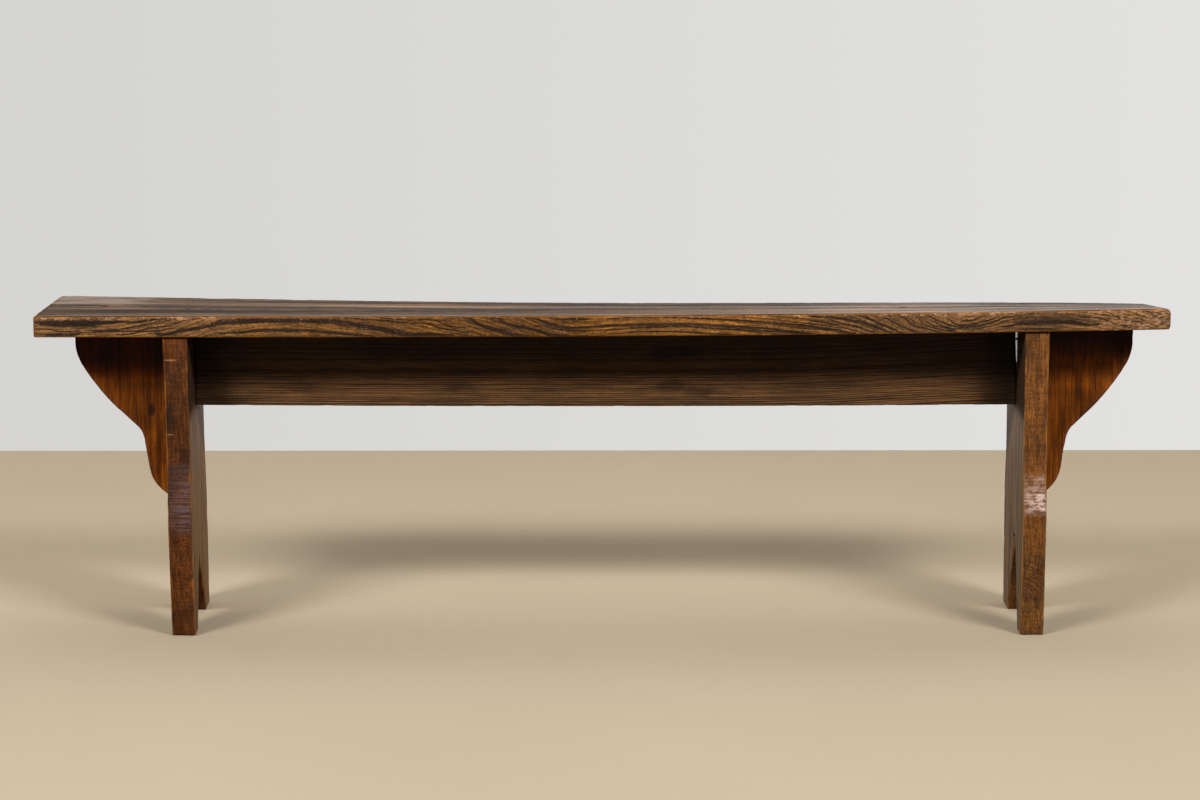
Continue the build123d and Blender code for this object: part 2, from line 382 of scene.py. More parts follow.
# %% [markdown]
# Wood is coloured by its growth rings. On a sawn face they show as bands, because the tree's rings are
# long tubes and the board is a slice through them. The group below makes those tubes round a pith that
# lies beside the board, lets them drift and waver along its length, and gives out how far each point is
# into the dark late wood of its ring. All five boards share it, each with its own pith and ring width.
# %% Make the growth ring group


def new_group(name, values, results):
    """A node group with named inputs, where None stands for a place. Gives it, and what comes into it."""
    group = bpy.data.node_groups.new(name, "ShaderNodeTree")
    for label, value in values.items():
        kind = "NodeSocketVector" if value is None else "NodeSocketFloat"
        socket = group.interface.new_socket(name=label, in_out="INPUT", socket_type=kind)
        if value is not None:
            socket.default_value = value
    for label in results:
        group.interface.new_socket(name=label, in_out="OUTPUT", socket_type="NodeSocketFloat")
    entry = group.nodes.new("NodeGroupInput")
    group.nodes.new("NodeGroupOutput")
    work_on(group)
    return group, entry.outputs


def ramp(value, start, end, low=0.0, high=1.0):
    """A soft step from low to high while the value goes from start to end."""
    sockets = {"Value": value, "From Min": start, "From Max": end, "To Min": low, "To Max": high}
    return put("MapRange", sockets, interpolation_type="SMOOTHSTEP").outputs[0]


def stretched(place, along, across):
    """A place scaled so that a pattern of size 1 becomes along by across metres."""
    inverse_along = reckon("DIVIDE", 1.0, along)
    inverse_across = reckon("DIVIDE", 1.0, across)
    factors = joined(inverse_along, inverse_across, inverse_across)
    return put("VectorMath", {0: place, 1: factors}, operation="MULTIPLY").outputs[0]


rings, entry = new_group(
    "growth_rings",
    {
        "Place": None, "Pith Across": 0.0, "Pith Below": 0.09, "Ring Width": 0.004, "Drift": 0.0,
        "Waver": 0.004, "Waver Length": 0.2, "Late Share": 0.4, "Softness": 0.6, "Uneven": 1.9,
    },
    ["Late Wood", "Ring Shade"],
)
parts = numbers_of(entry["Place"])
beside = minus(parts[1], entry["Pith Across"])
above = plus(parts[2], entry["Pith Below"])
spoke = joined(y=beside, z=above)
radius = put("VectorMath", {0: spoke}, operation="LENGTH").outputs["Value"]
waver_width = times(entry["Waver Length"], 0.3)
waver = mottle(stretched(entry["Place"], entry["Waver Length"], waver_width), 4.0)
waver = times(minus(waver, 0.5), entry["Waver"])
radius = plus(radius, entry["Drift"], waver)
count = reckon("DIVIDE", radius, entry["Ring Width"])
uneven = put(
    "TexNoise", {"W": times(count, 0.43), "Scale": 1.0, "Detail": 1.0}, noise_dimensions="1D",
).outputs[0]
count = times_plus(uneven, entry["Uneven"], count)
part_of_ring = reckon("FRACT", count)
ring_shade = put("TexWhiteNoise", {"W": reckon("FLOOR", count)}, noise_dimensions="1D").outputs["Value"]
start = minus(0.92, entry["Late Share"])
start = times_plus(ring_shade, -0.2, plus(start, 0.1))
full = times_plus(minus(0.9, start), entry["Softness"], start)
late = times(ramp(part_of_ring, start, full), ramp(part_of_ring, 0.93, 1.0, 1.0, 0.0))
give("Late Wood", late)
give("Ring Shade", ring_shade)
print("group:", rings.name)

# %% [markdown]
# Between the rings wood is made of fibres and, in coarse wood, of open pores that hold dark stain. Both
# are long and thin along the grain, so both come from patterns stretched that way. Fibres are a fine
# noise. Pores are separate cells, of which only a share is opened.
# %% Make the fibre and pore groups
fibre, entry = new_group(
    "wood_fibre", {"Place": None, "Fibre Length": 0.06, "Fibre Width": 0.0008}, ["Streak"],
)
streak = mottle(stretched(entry["Place"], entry["Fibre Length"], entry["Fibre Width"]), 3.0, 0.62)
give("Streak", ramp(streak, 0.28, 0.72))

pores, entry = new_group(
    "open_pores", {"Place": None, "Pore Length": 0.009, "Pore Width": 0.0011, "Share": 0.4}, ["Pore"],
)
pore_place = stretched(entry["Place"], entry["Pore Length"], entry["Pore Width"])
cells = put("TexVoronoi", {"Vector": pore_place, "Scale": 1.0, "Randomness": 1.0})
tint = put("SeparateColor", {0: cells.outputs["Color"]}).outputs[0]
opened = reckon("LESS_THAN", tint, entry["Share"])
give("Pore", times(ramp(cells.outputs["Distance"], 0.16, 0.42, 1.0, 0.0), opened))
print("groups:", fibre.name, pores.name)

# %% [markdown]
# Age shows in three more ways, and every board uses them. Arrises lose their stain in patches, down to
# bare orange wood. Knocks leave short pale scratches. The old varnish has darkened unevenly, in clouds
# as large as a hand.
# %% Make the worn edge, scratch and cloud groups
worn_edge, entry = new_group(
    "worn_edge", {"Place": None, "Arris": 0.0, "Patch": 0.03, "Amount": 1.0}, ["Worn"],
)
patch_width = times(entry["Patch"], 0.25)
patchy = mottle(stretched(entry["Place"], entry["Patch"], patch_width), 5.0, 0.65)
near = times(reckon("POWER", entry["Arris"], 1.6), entry["Amount"])
sunk = times_plus(minus(patchy, 0.5), 1.5, near)
give("Worn", times(ramp(sunk, 0.42, 0.85), ramp(entry["Arris"], 0.0, 0.25)))

scratches, entry = new_group(
    "scratches", {"Place": None, "Length": 0.03, "Width": 0.0009, "Share": 0.3}, ["Scratch"],
)
marks = []
for turn in (0.5, -0.95):
    turned = put(
        "VectorRotate", {"Vector": entry["Place"], "Angle": turn}, rotation_type="Z_AXIS",
    ).outputs[0]
    lines = mottle(stretched(turned, entry["Length"], entry["Width"]), 1.0, 0.4)
    least = times_plus(entry["Share"], -0.2, 0.82)
    marks.append(ramp(minus(lines, least), 0.0, 0.04))
spots = mottle(entry["Place"], 2.0, scale=11.0)
give("Scratch", times(most(*marks), ramp(spots, 0.42, 0.62)))

clouds, entry = new_group("varnish_clouds", {"Place": None, "Cloud": 0.12}, ["Depth"])
cloud_width = times(entry["Cloud"], 0.45)
cloud = mottle(stretched(entry["Place"], entry["Cloud"], cloud_width), 3.0, 0.55)
give("Depth", ramp(cloud, 0.25, 0.75))
print("groups:", worn_edge.name, scratches.name, clouds.name)

# %% [markdown]
# A knot is the root of a branch. Its own wood is dark and hard, and the rings of the board bend round
# it. The group measures how far a point is from the knot's middle, longer along the grain than across,
# and gives out the dark of the knot itself and how much the rings around it are pushed aside.
# %% Make the knot group
knot, entry = new_group(
    "knot",
    {
        "Place": None, "Along": 0.0, "Across": 0.0, "Through": 0.0, "Size": 0.01, "Stretch": 1.7,
        "Ragged": 180.0, "Reach": 4.0,
    },
    ["Dark", "Push"],
)
knot_middle = joined(entry["Along"], entry["Across"], entry["Through"])
knot_away = put("VectorMath", {0: entry["Place"], 1: knot_middle}, operation="SUBTRACT").outputs[0]
knot_away = stretched(knot_away, times(entry["Size"], entry["Stretch"]), entry["Size"])
knot_ragged = mottle(entry["Place"], 3.0, scale=entry["Ragged"])
knot_gap = put("VectorMath", {0: knot_away}, operation="LENGTH").outputs["Value"]
knot_gap = times_plus(knot_ragged, 1.0, minus(knot_gap, 0.5))
give("Dark", ramp(knot_gap, 0.45, 1.05, 1.0, 0.0))
give("Push", ramp(knot_gap, 0.0, entry["Reach"], 1.0, 0.0))
print("group:", knot.name)

# %% [markdown]
# Some marks of the grain are too plain to leave to chance: a single dark line or a broad band that the
# eye knows again. The group turns a drawn middle line and a width into such a mark. Its width
# wavers with a frayed pattern that it is given, and it is darkest in its middle.
# %% Make the grain line group
grain_line, entry = new_group(
    "grain_line", {"Fray": 0.5, "Height": 0.0, "Middle": 0.0, "Half Width": 0.001}, ["Dark"]
)
line_gap = reckon("ABSOLUTE", minus(entry["Height"], entry["Middle"]))
line_width = times(entry["Half Width"], ramp(entry["Fray"], 0.25, 0.75, 0.7, 1.5))
line_width = most(line_width, 0.00001)
line_dark = ramp(reckon("DIVIDE", line_gap, line_width), 0.5, 1.25, 1.0, 0.0)
give("Dark", line_dark)
print("group:", grain_line.name)

# %% [markdown]
# One function stacks these effects in the order in which they came about: rings and fibre in the raw
# wood, stain in the pores, clouds in the varnish, then wear and scratches through it. Each board calls
# it with its own list of values and may add to what it gives before the shader closes the material.
# %% Stack the effects into a wood finish


def use(group, values):
    """Places a node group with its own values and gives its outputs."""
    return put("Group", values, node_tree=group).outputs


def shaded(colour, light):
    """A colour made lighter or darker by a factor."""
    grey = put("CombineColor", {0: light, 1: light, 2: light}).outputs[0]
    return tint_over(1.0, colour, grey, "MULTIPLY")


def light_up(layer, light):
    """Makes a board's colour lighter or darker by a factor."""
    layer["colour"] = shaded(layer["colour"], light)


def lay(layer, share, over, blend="MIX"):
    """Lays a colour over a board's own by a share."""
    layer["colour"] = tint_over(share, layer["colour"], over, blend)


def mark(name, kind="Vector"):
    """What a board's mesh carries under this name."""
    return put("Attribute", attribute_name=name).outputs[kind]


def swing(pattern, strength, start=0.0, end=1.0):
    """A factor that swings by a strength to both sides of 1 with a pattern."""
    return ramp(pattern, start, end, 1 - strength, 1 + strength)


def grain_layers(look, drift=0.0, flow=None):
    """The colour of a board's surface, and the patterns that it was made from."""

    def own(*labels):
        return {label: look[label.lower().replace(" ", "_")] for label in labels}

    place = mark("board")
    place = put("Mapping", {"Vector": place, "Location": look["shift"]}).outputs[0]
    strand = place if flow is None else put("VectorMath", {0: place, 1: flow}, operation="ADD").outputs[0]
    arris = mark("arris", "Fac")
    tubes = {
        "Place": place, "Drift": drift,
        **own("Pith Across", "Pith Below", "Waver", "Waver Length", "Softness", "Uneven"),
    }
    ring = use(rings, {**tubes, **own("Ring Width", "Late Share")})
    thin_ring_width = look["ring_width"] * look["thin_width"]
    thin = use(rings, {**tubes, "Ring Width": thin_ring_width, "Late Share": 0.55})
    fine = use(fibre, {"Place": strand, **own("Fibre Length", "Fibre Width")})["Streak"]
    coarse_size = {"Fibre Length": look["coarse_length"], "Fibre Width": look["coarse_width"]}
    coarse = use(fibre, {"Place": strand, **coarse_size})["Streak"]
    pore_size = {"Share": look["pore_share"], **own("Pore Length", "Pore Width")}
    pore = use(pores, {"Place": strand, **pore_size})["Pore"]
    cloud = use(clouds, {"Place": place, **own("Cloud")})["Depth"]
    edge_wear = {"Patch": look["wear_patch"], "Amount": look["wear"]}
    worn = use(worn_edge, {"Place": place, "Arris": arris, **edge_wear})["Worn"]
    scratch = use(scratches, {"Place": place, "Share": look["scratch_share"]})["Scratch"]

    shade = times_plus(ring["Ring Shade"], 1 - look["even"], look["even"])
    late = times(ring["Late Wood"], shade, look["late_strength"])
    thin_late = times(thin["Late Wood"], times(thin["Ring Shade"], look["thin_strength"]))
    late = most(late, thin_late)
    colour = tint_over(late, look["early"], look["late"])
    cloud_light = (cloud, 0.0, 1.0, look["cloud_dark"], 1.12)
    light = times(
        swing(fine, look["fibre_strength"]), swing(coarse, look["coarse_strength"]), ramp(*cloud_light)
    )
    light = times(light, swing(mottle(place, 3.0, 0.7, scale=380.0), look["speck"], 0.3, 0.7))
    colour = shaded(colour, light)
    colour = tint_over(times(pore, look["pore_strength"]), colour, look["pore"])
    return {
        "place": place, "arris": arris, "late": late, "fine": fine, "coarse": coarse, "pore": pore,
        "cloud": cloud, "worn": worn, "scratch": scratch, "colour": colour,
    }


print("groups for the grain of a board:", [group.name for group in bpy.data.node_groups])

# %% [markdown]
# Wear comes last, over everything else: bare wood on the arrises and the pale tracks of scratches. Then
# the same patterns set how rough and how uneven the surface is, so that light breaks on just those
# places where the colour changes, as it does on old varnish.
# %% Wear a finish and close it


def wear_layers(look, layer):
    """Lays the bare wood of worn arrises and the pale scratches over a board's colour."""
    bare = shaded(look["bare"], ramp(layer["fine"], 0.0, 1.0, 0.6, 1.2))
    colour = tint_over(times(layer["worn"], look["wear_strength"]), layer["colour"], bare)
    return tint_over(times(layer["scratch"], look["scratch_strength"]), colour, look["scuff"])


def close_finish(look, layer, colour, extra_height=None, extra_rough=None):
    """Works out roughness and bump from the layers and closes the finish with its shader."""
    rough = ramp(layer["fine"], 0.0, 1.0, look["rough"] - 0.06, look["rough"] + 0.08)
    rough = times_plus(layer["arris"], look["arris_rough"], rough)
    rough = times_plus(layer["pore"], 0.15, rough)
    rough = times_plus(layer["cloud"], -0.07, rough)
    if extra_rough is not None:
        rough = plus(rough, extra_rough)
    scratch_depth, wear_depth = 0.00012, 0.00015
    height = times(layer["fine"], look["fibre_height"])
    height = times_plus(layer["late"], look["late_height"], height)
    height = times_plus(layer["coarse"], look["late_height"] * 1.5, height)
    height = times_plus(layer["pore"], -look["pore_height"], height)
    height = times_plus(layer["scratch"], -scratch_depth, height)
    height = times_plus(layer["worn"], -wear_depth, height)
    if extra_height is not None:
        height = plus(height, extra_height)
    bump = put("Bump", {"Height": height, "Strength": 1.0, "Distance": 1.0}).outputs[0]
    shader = put("BsdfPrincipled", {"Base Color": colour, "Roughness": rough, "Normal": bump})
    shader.inputs["IOR"].default_value = 1.5
    shader.inputs["Specular IOR Level"].default_value = look["gloss"]
    give("Surface", shader.outputs[0])


plain_look = dict(
    shift=(0, 0, 0), pith_across=0.0, pith_below=0.09, ring_width=0.004, waver=0.004, waver_length=0.2,
    late_share=0.4, late_strength=0.9, thin_strength=0.4, thin_width=0.29, softness=0.5, uneven=1.9,
    even=0.4, fibre_length=0.05, fibre_width=0.0009, fibre_strength=0.2, coarse_length=0.35,
    coarse_width=0.005, coarse_strength=0.16, speck=0.1, pore_share=0.25, pore_strength=0.5,
    pore_length=0.009, pore_width=0.0011, cloud=0.12, cloud_dark=0.7, wear=0.9, wear_patch=0.03,
    wear_strength=0.7, scratch_share=0.25, scratch_strength=0.25, early=seen(120, 76, 38),
    late=seen(46, 27, 15), pore=seen(24, 14, 8), bare=seen(166, 104, 46), scuff=seen(196, 158, 132),
    rough=0.45, arris_rough=0.2, gloss=0.25, fibre_height=0.00006, late_height=0.00006, pore_height=0.0001,
)
print("a wood finish has", len(plain_look), "values")

# %% [markdown]
# The seat's front edge shows its rings as dark waving bands. They climb from the left end, run down
# towards the middle, lie flat, fall steeply and turn up again in a bowl near the right leg. One curve
# along the plank holds that drift, set at a few listed places. A second one squeezes the rings towards
# the top of the bowl, so that they stand steeper there, and a third says where they show best.
# %% Mix the seat's front edge


def curve_along(value, points, handle="AUTO"):
    """A curve through given points, each a place from 0 to 1 and a value from 0 to 1."""
    node = put("FloatCurve", {"Value": value})
    line = node.mapping.curves[0]
    line.points[0].location = points[0]
    line.points[-1].location = points[-1]
    for place, level in points[1:-1]:
        line.points.new(place, level)
    for point in line.points:
        point.handle_type = handle
    node.mapping.update()
    return node.outputs[0]


seat_finish = new_finish("seat_wood")
seat_place = mark("board")
seat_parts = numbers_of(seat_place)
seat_share = put("MapRange", {"Value": seat_parts[0], "From Min": -0.777, "From Max": 0.777}).outputs[0]
climb_height = -0.136
ring_climb = curve_along(seat_share, [
    (0, 0.75), (0.03, 0.755), (0.06, 0.76), (0.1, 0.8), (0.14, 0.88), (0.18, 0.975), (0.22, 1),
    (0.26, 0.975), (0.3, 0.93), (0.34, 0.87), (0.38, 0.82), (0.42, 0.74), (0.46, 0.655), (0.48, 0.635),
    (0.52, 0.648), (0.56, 0.658), (0.6, 0.647), (0.64, 0.622), (0.68, 0.594), (0.71, 0.568), (0.735, 0.518),
    (0.76, 0.43), (0.78, 0.325), (0.8, 0.225), (0.82, 0.162), (0.84, 0.172), (0.86, 0.212), (0.885, 0.215),
    (0.92, 0.195), (0.95, 0.145), (0.975, 0.085), (1, 0.01),
])
ring_strength = curve_along(seat_share, [
    (0, 0.35), (0.06, 0.5), (0.14, 0.55), (0.17, 0.18), (0.3, 0.27), (0.36, 0.55), (0.46, 0.55),
    (0.5, 0.32), (0.6, 0.37), (0.67, 0.75), (0.71, 0.7), (0.76, 0.6), (0.8, 0.5), (0.84, 0.5), (0.87, 0.5),
    (0.92, 0.5), (0.95, 0.4), (1, 0.55),
])
edge_light = curve_along(seat_share, [
    (0, 0.92), (0.05, 0.79), (0.1, 0.88), (0.135, 0.92), (0.16, 0.72), (0.3, 0.6), (0.4, 0.57), (0.46, 0.6),
    (0.52, 0.8), (0.62, 0.85), (0.68, 0.68), (0.72, 0.71), (0.76, 0.72), (0.84, 0.69), (0.88, 0.61),
    (0.92, 0.66), (0.95, 0.76), (1, 0.83),
])
dull = curve_along(seat_share, [
    (0, 1), (0.15, 0.9), (0.2, 0.35), (0.33, 0.2), (0.5, 0), (0.65, 0), (0.7, 0.8), (0.85, 1), (1, 1),
])
edge_look = dict(
    plain_look, pith_across=0.04, pith_below=0.11, ring_width=0.0034, waver=0.0025, waver_length=0.07,
    late_share=0.45, late_strength=times(ring_strength, 1.15), uneven=0.45, even=0.7,
    thin_strength=times(ring_strength, 0.6), thin_width=0.5, softness=0.4,
    early=tint_over(dull, seen(160, 104, 40), seen(160, 112, 63)), late=seen(36, 22, 12),
    fibre_strength=0.42, fibre_width=0.0015, fibre_length=0.02, coarse_strength=0.32, coarse_length=0.05,
    coarse_width=0.003, speck=0.38, cloud=0.09, wear=0.9, wear_patch=0.03, wear_strength=0.8,
    scratch_share=0.7, scratch_strength=0.5, rough=0.5, arris_rough=0.45, gloss=0.2, pore_share=0.5,
    pore_strength=0.75, pore_length=0.008, pore_width=0.0017, bare=seen(146, 84, 4),
    scuff=seen(200, 152, 116), fibre_height=0.00012, pore_height=0.0002,
)
ring_fade = ramp(seat_parts[1], -0.12, 0.12, 1.0, 0.35)
seat_drift = times(ring_climb, ring_fade, climb_height)
bowl = curve_along(seat_share, [
    (0, 0), (0.7, 0), (0.745, 0.15), (0.8, 0.85), (0.825, 1), (0.85, 0.8), (0.9, 0.1), (1, 0),
])
bowl = times(bowl, ring_fade, 0.5)
seat_drift = times_plus(seat_parts[2], bowl, seat_drift)
grain_flow = joined(z=times(ring_climb, climb_height))
edge_layer = grain_layers(edge_look, seat_drift, grain_flow)
light_up(edge_layer, edge_light)
edge_place = joined(x=seat_parts[0], z=seat_parts[2])
for along, through, half_length, half_height, share in (
    (-0.718, 0.0045, 0.055, 0.0042, 0.7), (-0.45, 0.008, 0.08, 0.0036, 0.45),
    (-0.12, -0.002, 0.03, 0.004, 0.4), (0.63, 0.002, 0.08, 0.0085, 0.6),
):
    spot = use(knot, {
        "Place": edge_place, "Along": along, "Through": through, "Size": half_height,
        "Stretch": half_length / half_height, "Ragged": 90.0,
    })
    lay(edge_layer, times(spot["Dark"], share), seen(44, 31, 25))
print("finish started:", seat_finish.name)

# %% [markdown]
# The lines below were traced from the photograph: dark rings that rise from the left, the arch
# with its broad band, three steep bands that run into the long level lines of the middle, and the smudge
# at the right. Each place is how far along, how high and how wide to each side, in millimetres from the
# middle of the edge. Lines that don't meet share a track, so that a few curves hold them all.
# %% Draw the strongest grain lines of the front edge
edge_tracks = (
    (
        ((-770, 5.7, 2.4), (-747, 4.9, 4.4), (-713, 4.7, 4.8), (-687, 5.5, 3.6), (-655, 7.4, 1.4)),
        (
            (-607, -10.3, 1.8), (-577, -4.8, 2.2), (-551, -1.6, 1.8), (-530, 2.7, 2.4), (-516, 7, 3.4),
            (-481, 8.5, 3.2), (-431, 8.9, 2.4), (-379, 7.9, 3), (-345, 3.9, 3), (-311, -1.3, 3.2),
            (-277, -7.8, 3.4), (-247, -11.2, 2.4),
        ),
        ((-192, 13, 1.6), (-174, 5.2, 2), (-155, -1.7, 2.6), (-132, -6.9, 2.4), (-105, -12.6, 1.2)),
        ((-59, 9.6, 1), (-42, 9.9, 1.5), (-19, 9.6, 1)),
        (
            (6, 10, 0.8), (49, 11.4, 0.8), (83, 11.2, 0.7), (134, 9.5, 0.9), (186, 6.5, 1.1), (236, 2.7, 1),
            (286, -2.6, 1.2), (302, -5.4, 1.3), (318, -7.6, 1.3), (333, -10.2, 1.1), (346, -13, 0.9),
        ),
        (
            (352, 10.2, 0.8), (360, 8.8, 1.1), (368, 5.1, 1.3), (376, 0.3, 1.3), (384, -2.9, 1.2),
            (393, -6.5, 1.2), (403, -10, 1), (411, -13, 0.9),
        ),
        (
            (430, 7.8, 0.7), (437, 0.4, 0.9), (444, -3.9, 0.9), (455, -7, 0.8), (466, -9.7, 0.8),
            (482, -11.6, 0.6),
        ),
        ((492, 2.7, 1.1), (499, 2.3, 1.3), (507, 3.7, 1.2), (515, 6.8, 0.9), (520, 7.9, 0.6)),
        (
            (545, -6.6, 0.9), (565, -4, 1.3), (584, -2.2, 2), (606, -1.1, 2.6), (640, -2.2, 2.6),
            (680, -5.7, 1),
        ),
        ((741, 11.6, 0.8), (752, 7.2, 0.9), (761, 1.8, 0.6)),
    ),
    (
        ((-776, -2.7, 0.6), (-747, -4.5, 0.7), (-731, -6.2, 0.8), (-714, -5, 0.7)),
        (
            (-694, -6.2, 0.7), (-663, -6.2, 0.8), (-637, -5.4, 0.7), (-619, -1.1, 0.9), (-597, 0.6, 0.8),
            (-577, 5.8, 0.8), (-548, 11.3, 0.7),
        ),
        (
            (-524, -8.4, 1), (-490, -7.1, 1.6), (-456, -4.8, 1.9), (-413, -4.8, 1.6), (-379, -7.2, 1.8),
            (-345, -9.8, 1.7), (-315, -12.7, 1.2),
        ),
        ((-257, 5, 0.9), (-224, -1.5, 0.9), (-200, -5, 0.9), (-179, -7.6, 0.7)),
        ((-163, 13.2, 1.4), (-132, 3.4, 1.9), (-106, -1.8, 1.9), (-80, -7.9, 2.2), (-49, -13.1, 1.2)),
        ((25, -10.1, 0.6), (66, -7.9, 0.9), (117, -9.1, 0.8), (179, -12.6, 0.8)),
        (
            (287, 10.5, 0.8), (307, 10, 1), (322, 8.8, 1.3), (333, 6.6, 1.5), (343, 4.4, 1.6),
            (354, 1.7, 1.6), (365, -2.1, 1.5), (376, -5.9, 1.3), (387, -10, 1.2), (395, -12.5, 0.9),
        ),
        (
            (409, 9.2, 0.8), (416, 2.8, 1), (422, -2, 1), (433, -5.7, 0.9), (444, -7.8, 0.8),
            (455, -11.4, 0.8), (464, -13.5, 0.6),
        ),
        (
            (473, 5.2, 0.8), (479, -0.1, 1), (488, -2.8, 1.1), (499, -3.4, 1.1), (507, -2.7, 1),
            (515, 0.3, 0.9), (526, 2.2, 0.9), (537, 5.8, 0.8), (544, 8.8, 0.6),
        ),
        ((572, -10.6, 0.7), (594, -10.3, 1), (618, -10.4, 0.8)),
        ((657, 4.8, 0.6), (692, -1.8, 0.7), (725, -8.5, 0.6)),
    ),
    (
        ((-762, -10.8, 1), (-740, -10.6, 1.7), (-715, -9.8, 1.5)),
        ((-702, -4.5, 0.6), (-679, -4.3, 0.7), (-645, -0.2, 0.8), (-611, 5.8, 0.8), (-582, 11.2, 0.7)),
        ((-366, 12.5, 0.6), (-329, 10.7, 0.7), (-295, 9, 0.8), (-267, 6, 0.8)),
        ((-250, 10, 0.6), (-216, 3.6, 0.8), (-185, -0.7, 0.7)),
        (
            (-108, 13, 1), (-87, 8.4, 1.4), (-66, 1.5, 1.6), (-43, -2.1, 1.3), (-12, -0.6, 1.1),
            (15, 0.8, 1.1), (49, 1.9, 1.1), (100, 2.1, 1.2), (134, 0.6, 1.1), (186, -2, 1),
            (236, -5.9, 1.2), (275, -10.2, 1),
        ),
        (
            (283, 5, 0.6), (294, 3.2, 0.7), (305, 2.2, 0.7), (316, -0.1, 0.7), (333, -1.5, 0.6),
            (343, -3.5, 0.7), (354, -6.1, 0.7), (371, -10.4, 0.6),
        ),
        (
            (386, 7.4, 0.7), (393, 4.1, 0.9), (402, -0.4, 1), (410, -4.5, 1), (417, -7.7, 0.9),
            (428, -11.4, 0.8), (439, -13.4, 0.6),
        ),
        (
            (451, 2.4, 0.7), (460, -2.9, 0.8), (471, -6.1, 0.8), (485, -8.2, 0.7), (499, -8.9, 0.7),
            (510, -8.7, 0.7), (520, -7.3, 0.7), (531, -5.5, 0.7), (542, -2.7, 0.7), (553, 1.3, 0.6),
        ),
        ((676, 7.6, 0.6), (706, 2.5, 0.8), (738, -3.2, 0.6)),
    ),
    (
        ((-665, -10.6, 0.6), (-631, -6.9, 0.9), (-604, -4.8, 0.8), (-588, -2.1, 0.6)),
        ((-307, 12.8, 0.6), (-285, 10.8, 0.8), (-262, 8.6, 0.7)),
        ((-250, -9.9, 1.6), (-234, -10.7, 2.2), (-207, -12.1, 1.6)),
        (
            (-92, 0.6, 0.7), (-66, -3.7, 0.9), (-46, -5.8, 0.9), (-12, -5.7, 0.7), (49, -2.7, 0.7),
            (100, -1.7, 0.8), (134, -3.3, 0.8), (186, -6.3, 0.9), (254, -10.6, 0.9), (284, -12.5, 0.7),
        ),
        (
            (305, 7.8, 0.5), (316, 4.4, 0.6), (327, 1.3, 0.6), (338, -0.8, 0.6), (349, -3.5, 0.6),
            (360, -6.8, 0.6), (376, -11, 0.5),
        ),
        (
            (444, 9.4, 0.8), (451, 6.2, 1), (459, 2.4, 1.1), (468, -0.8, 1.1), (477, -4, 1.2),
            (488, -5.5, 1.2), (499, -6, 1.2), (510, -5.6, 1.1), (520, -3.3, 1.1), (531, -0.7, 1),
            (542, 2.7, 0.9), (553, 6.6, 0.7),
        ),
    ),
    (
        ((-652, 6.1, 1), (-629, 8.2, 1.6), (-590, 10.8, 1)),
        ((22, -1.3, 0.4), (77, 0.2, 0.6), (131, -1.3, 0.5), (192, -4.3, 0.6), (254, -8.4, 0.5)),
        (
            (277, 1.2, 0.5), (289, -0.3, 0.6), (301, -1.9, 0.6), (311, -3.5, 0.6), (323, -5.1, 0.6),
            (333, -6.2, 0.6), (349, -8.8, 0.5),
        ),
        (
            (438, 8.8, 0.6), (442, 3.5, 0.7), (449, -1.9, 0.7), (459, -5.1, 0.7), (473, -8.2, 0.6),
            (483, -10.2, 0.5),
        ),
    ),
)
fray = mottle(stretched(edge_place, 0.012, 0.0016), 2.0, 0.55)
edge_length, edge_height, widest = 1554, 30, 5  # in millimetres
line_end = 0.003
drawn = 0.0
for track in edge_tracks:
    middles, widths = [], []
    for line_places in track:
        line_shares = [x / edge_length + 0.5 for x, _, _ in line_places]
        middles.extend((share, z / edge_height + 0.5) for share, (_, z, _) in zip(line_shares, line_places))
        line_widths = [
            (share, half_width / widest) for share, (_, _, half_width) in zip(line_shares, line_places)
        ]
        widths.extend([(line_shares[0] - line_end, 0.0), *line_widths, (line_shares[-1] + line_end, 0.0)])
    middles = [(0.0, middles[0][1]), *middles, (1.0, middles[-1][1])]
    widths = [(0.0, 0.0), *[point for point in widths if 0 < point[0] < 1], (1.0, 0.0)]
    middle = times_plus(curve_along(seat_share, middles, "AUTO_CLAMPED"), 0.03, -0.015)
    half_width = times(curve_along(seat_share, widths, "VECTOR"), 0.0066)
    line = use(grain_line, {
        "Fray": fray, "Height": seat_parts[2], "Middle": middle, "Half Width": half_width,
    })["Dark"]
    drawn = most(drawn, line)
drawn = times(drawn, 0.96)
line_colour = shaded(edge_look["late"], ramp(edge_layer["fine"], 0.0, 1.0, 0.7, 1.4))
lay(edge_layer, drawn, line_colour)
edge_layer["late"] = most(edge_layer["late"], drawn)
print("lines drawn on the edge:", sum(len(track) for track in edge_tracks))

# %% [markdown]
# The upper arris is worn bright in a thin line, and the lower one and the left end a little. Years of
# knocks have bitten it at some places more than at others, and have left the last hand's width of the
# right end dented and pale. The pale nicks are chipped wood, with painted glints in them.
# %% Wear the front edge
high_up = ramp(seat_parts[2], 0.0103, 0.0132, 0.1, 1.0)
high_up = most(high_up, ramp(seat_parts[0], -0.768, -0.774))
high_up = most(high_up, ramp(seat_parts[2], -0.0118, -0.0138, 0.0, 0.6))
edge_layer["worn"] = times(edge_layer["worn"], high_up)
edge_colour = wear_layers(edge_look, edge_layer)
knocked = curve_along(seat_share, [
    (0, 0.9), (0.05, 1), (0.075, 0.7), (0.09, 0.3), (0.135, 0.9), (0.16, 0.8), (0.18, 0.1), (0.3, 0.1),
    (0.32, 0.6), (0.34, 0.1), (0.39, 0.5), (0.42, 0.5), (0.44, 0.05), (0.56, 0.05), (0.58, 0.5), (0.6, 0.1),
    (0.68, 0.5), (0.72, 0.3), (0.75, 0.6), (0.8, 0.6), (0.84, 0.95), (0.88, 0.8), (0.91, 0.2), (0.95, 0.9),
    (1, 0.8),
])
# Pale nicks near the upper arris and at the right end: chipped wood, partly painted glints.
nick_and_glint = mottle(stretched(seat_place, 0.006, 0.0022), 3.0, 0.6)
nick_and_glint = ramp(times_plus(knocked, 0.15, nick_and_glint), 0.635, 0.745)
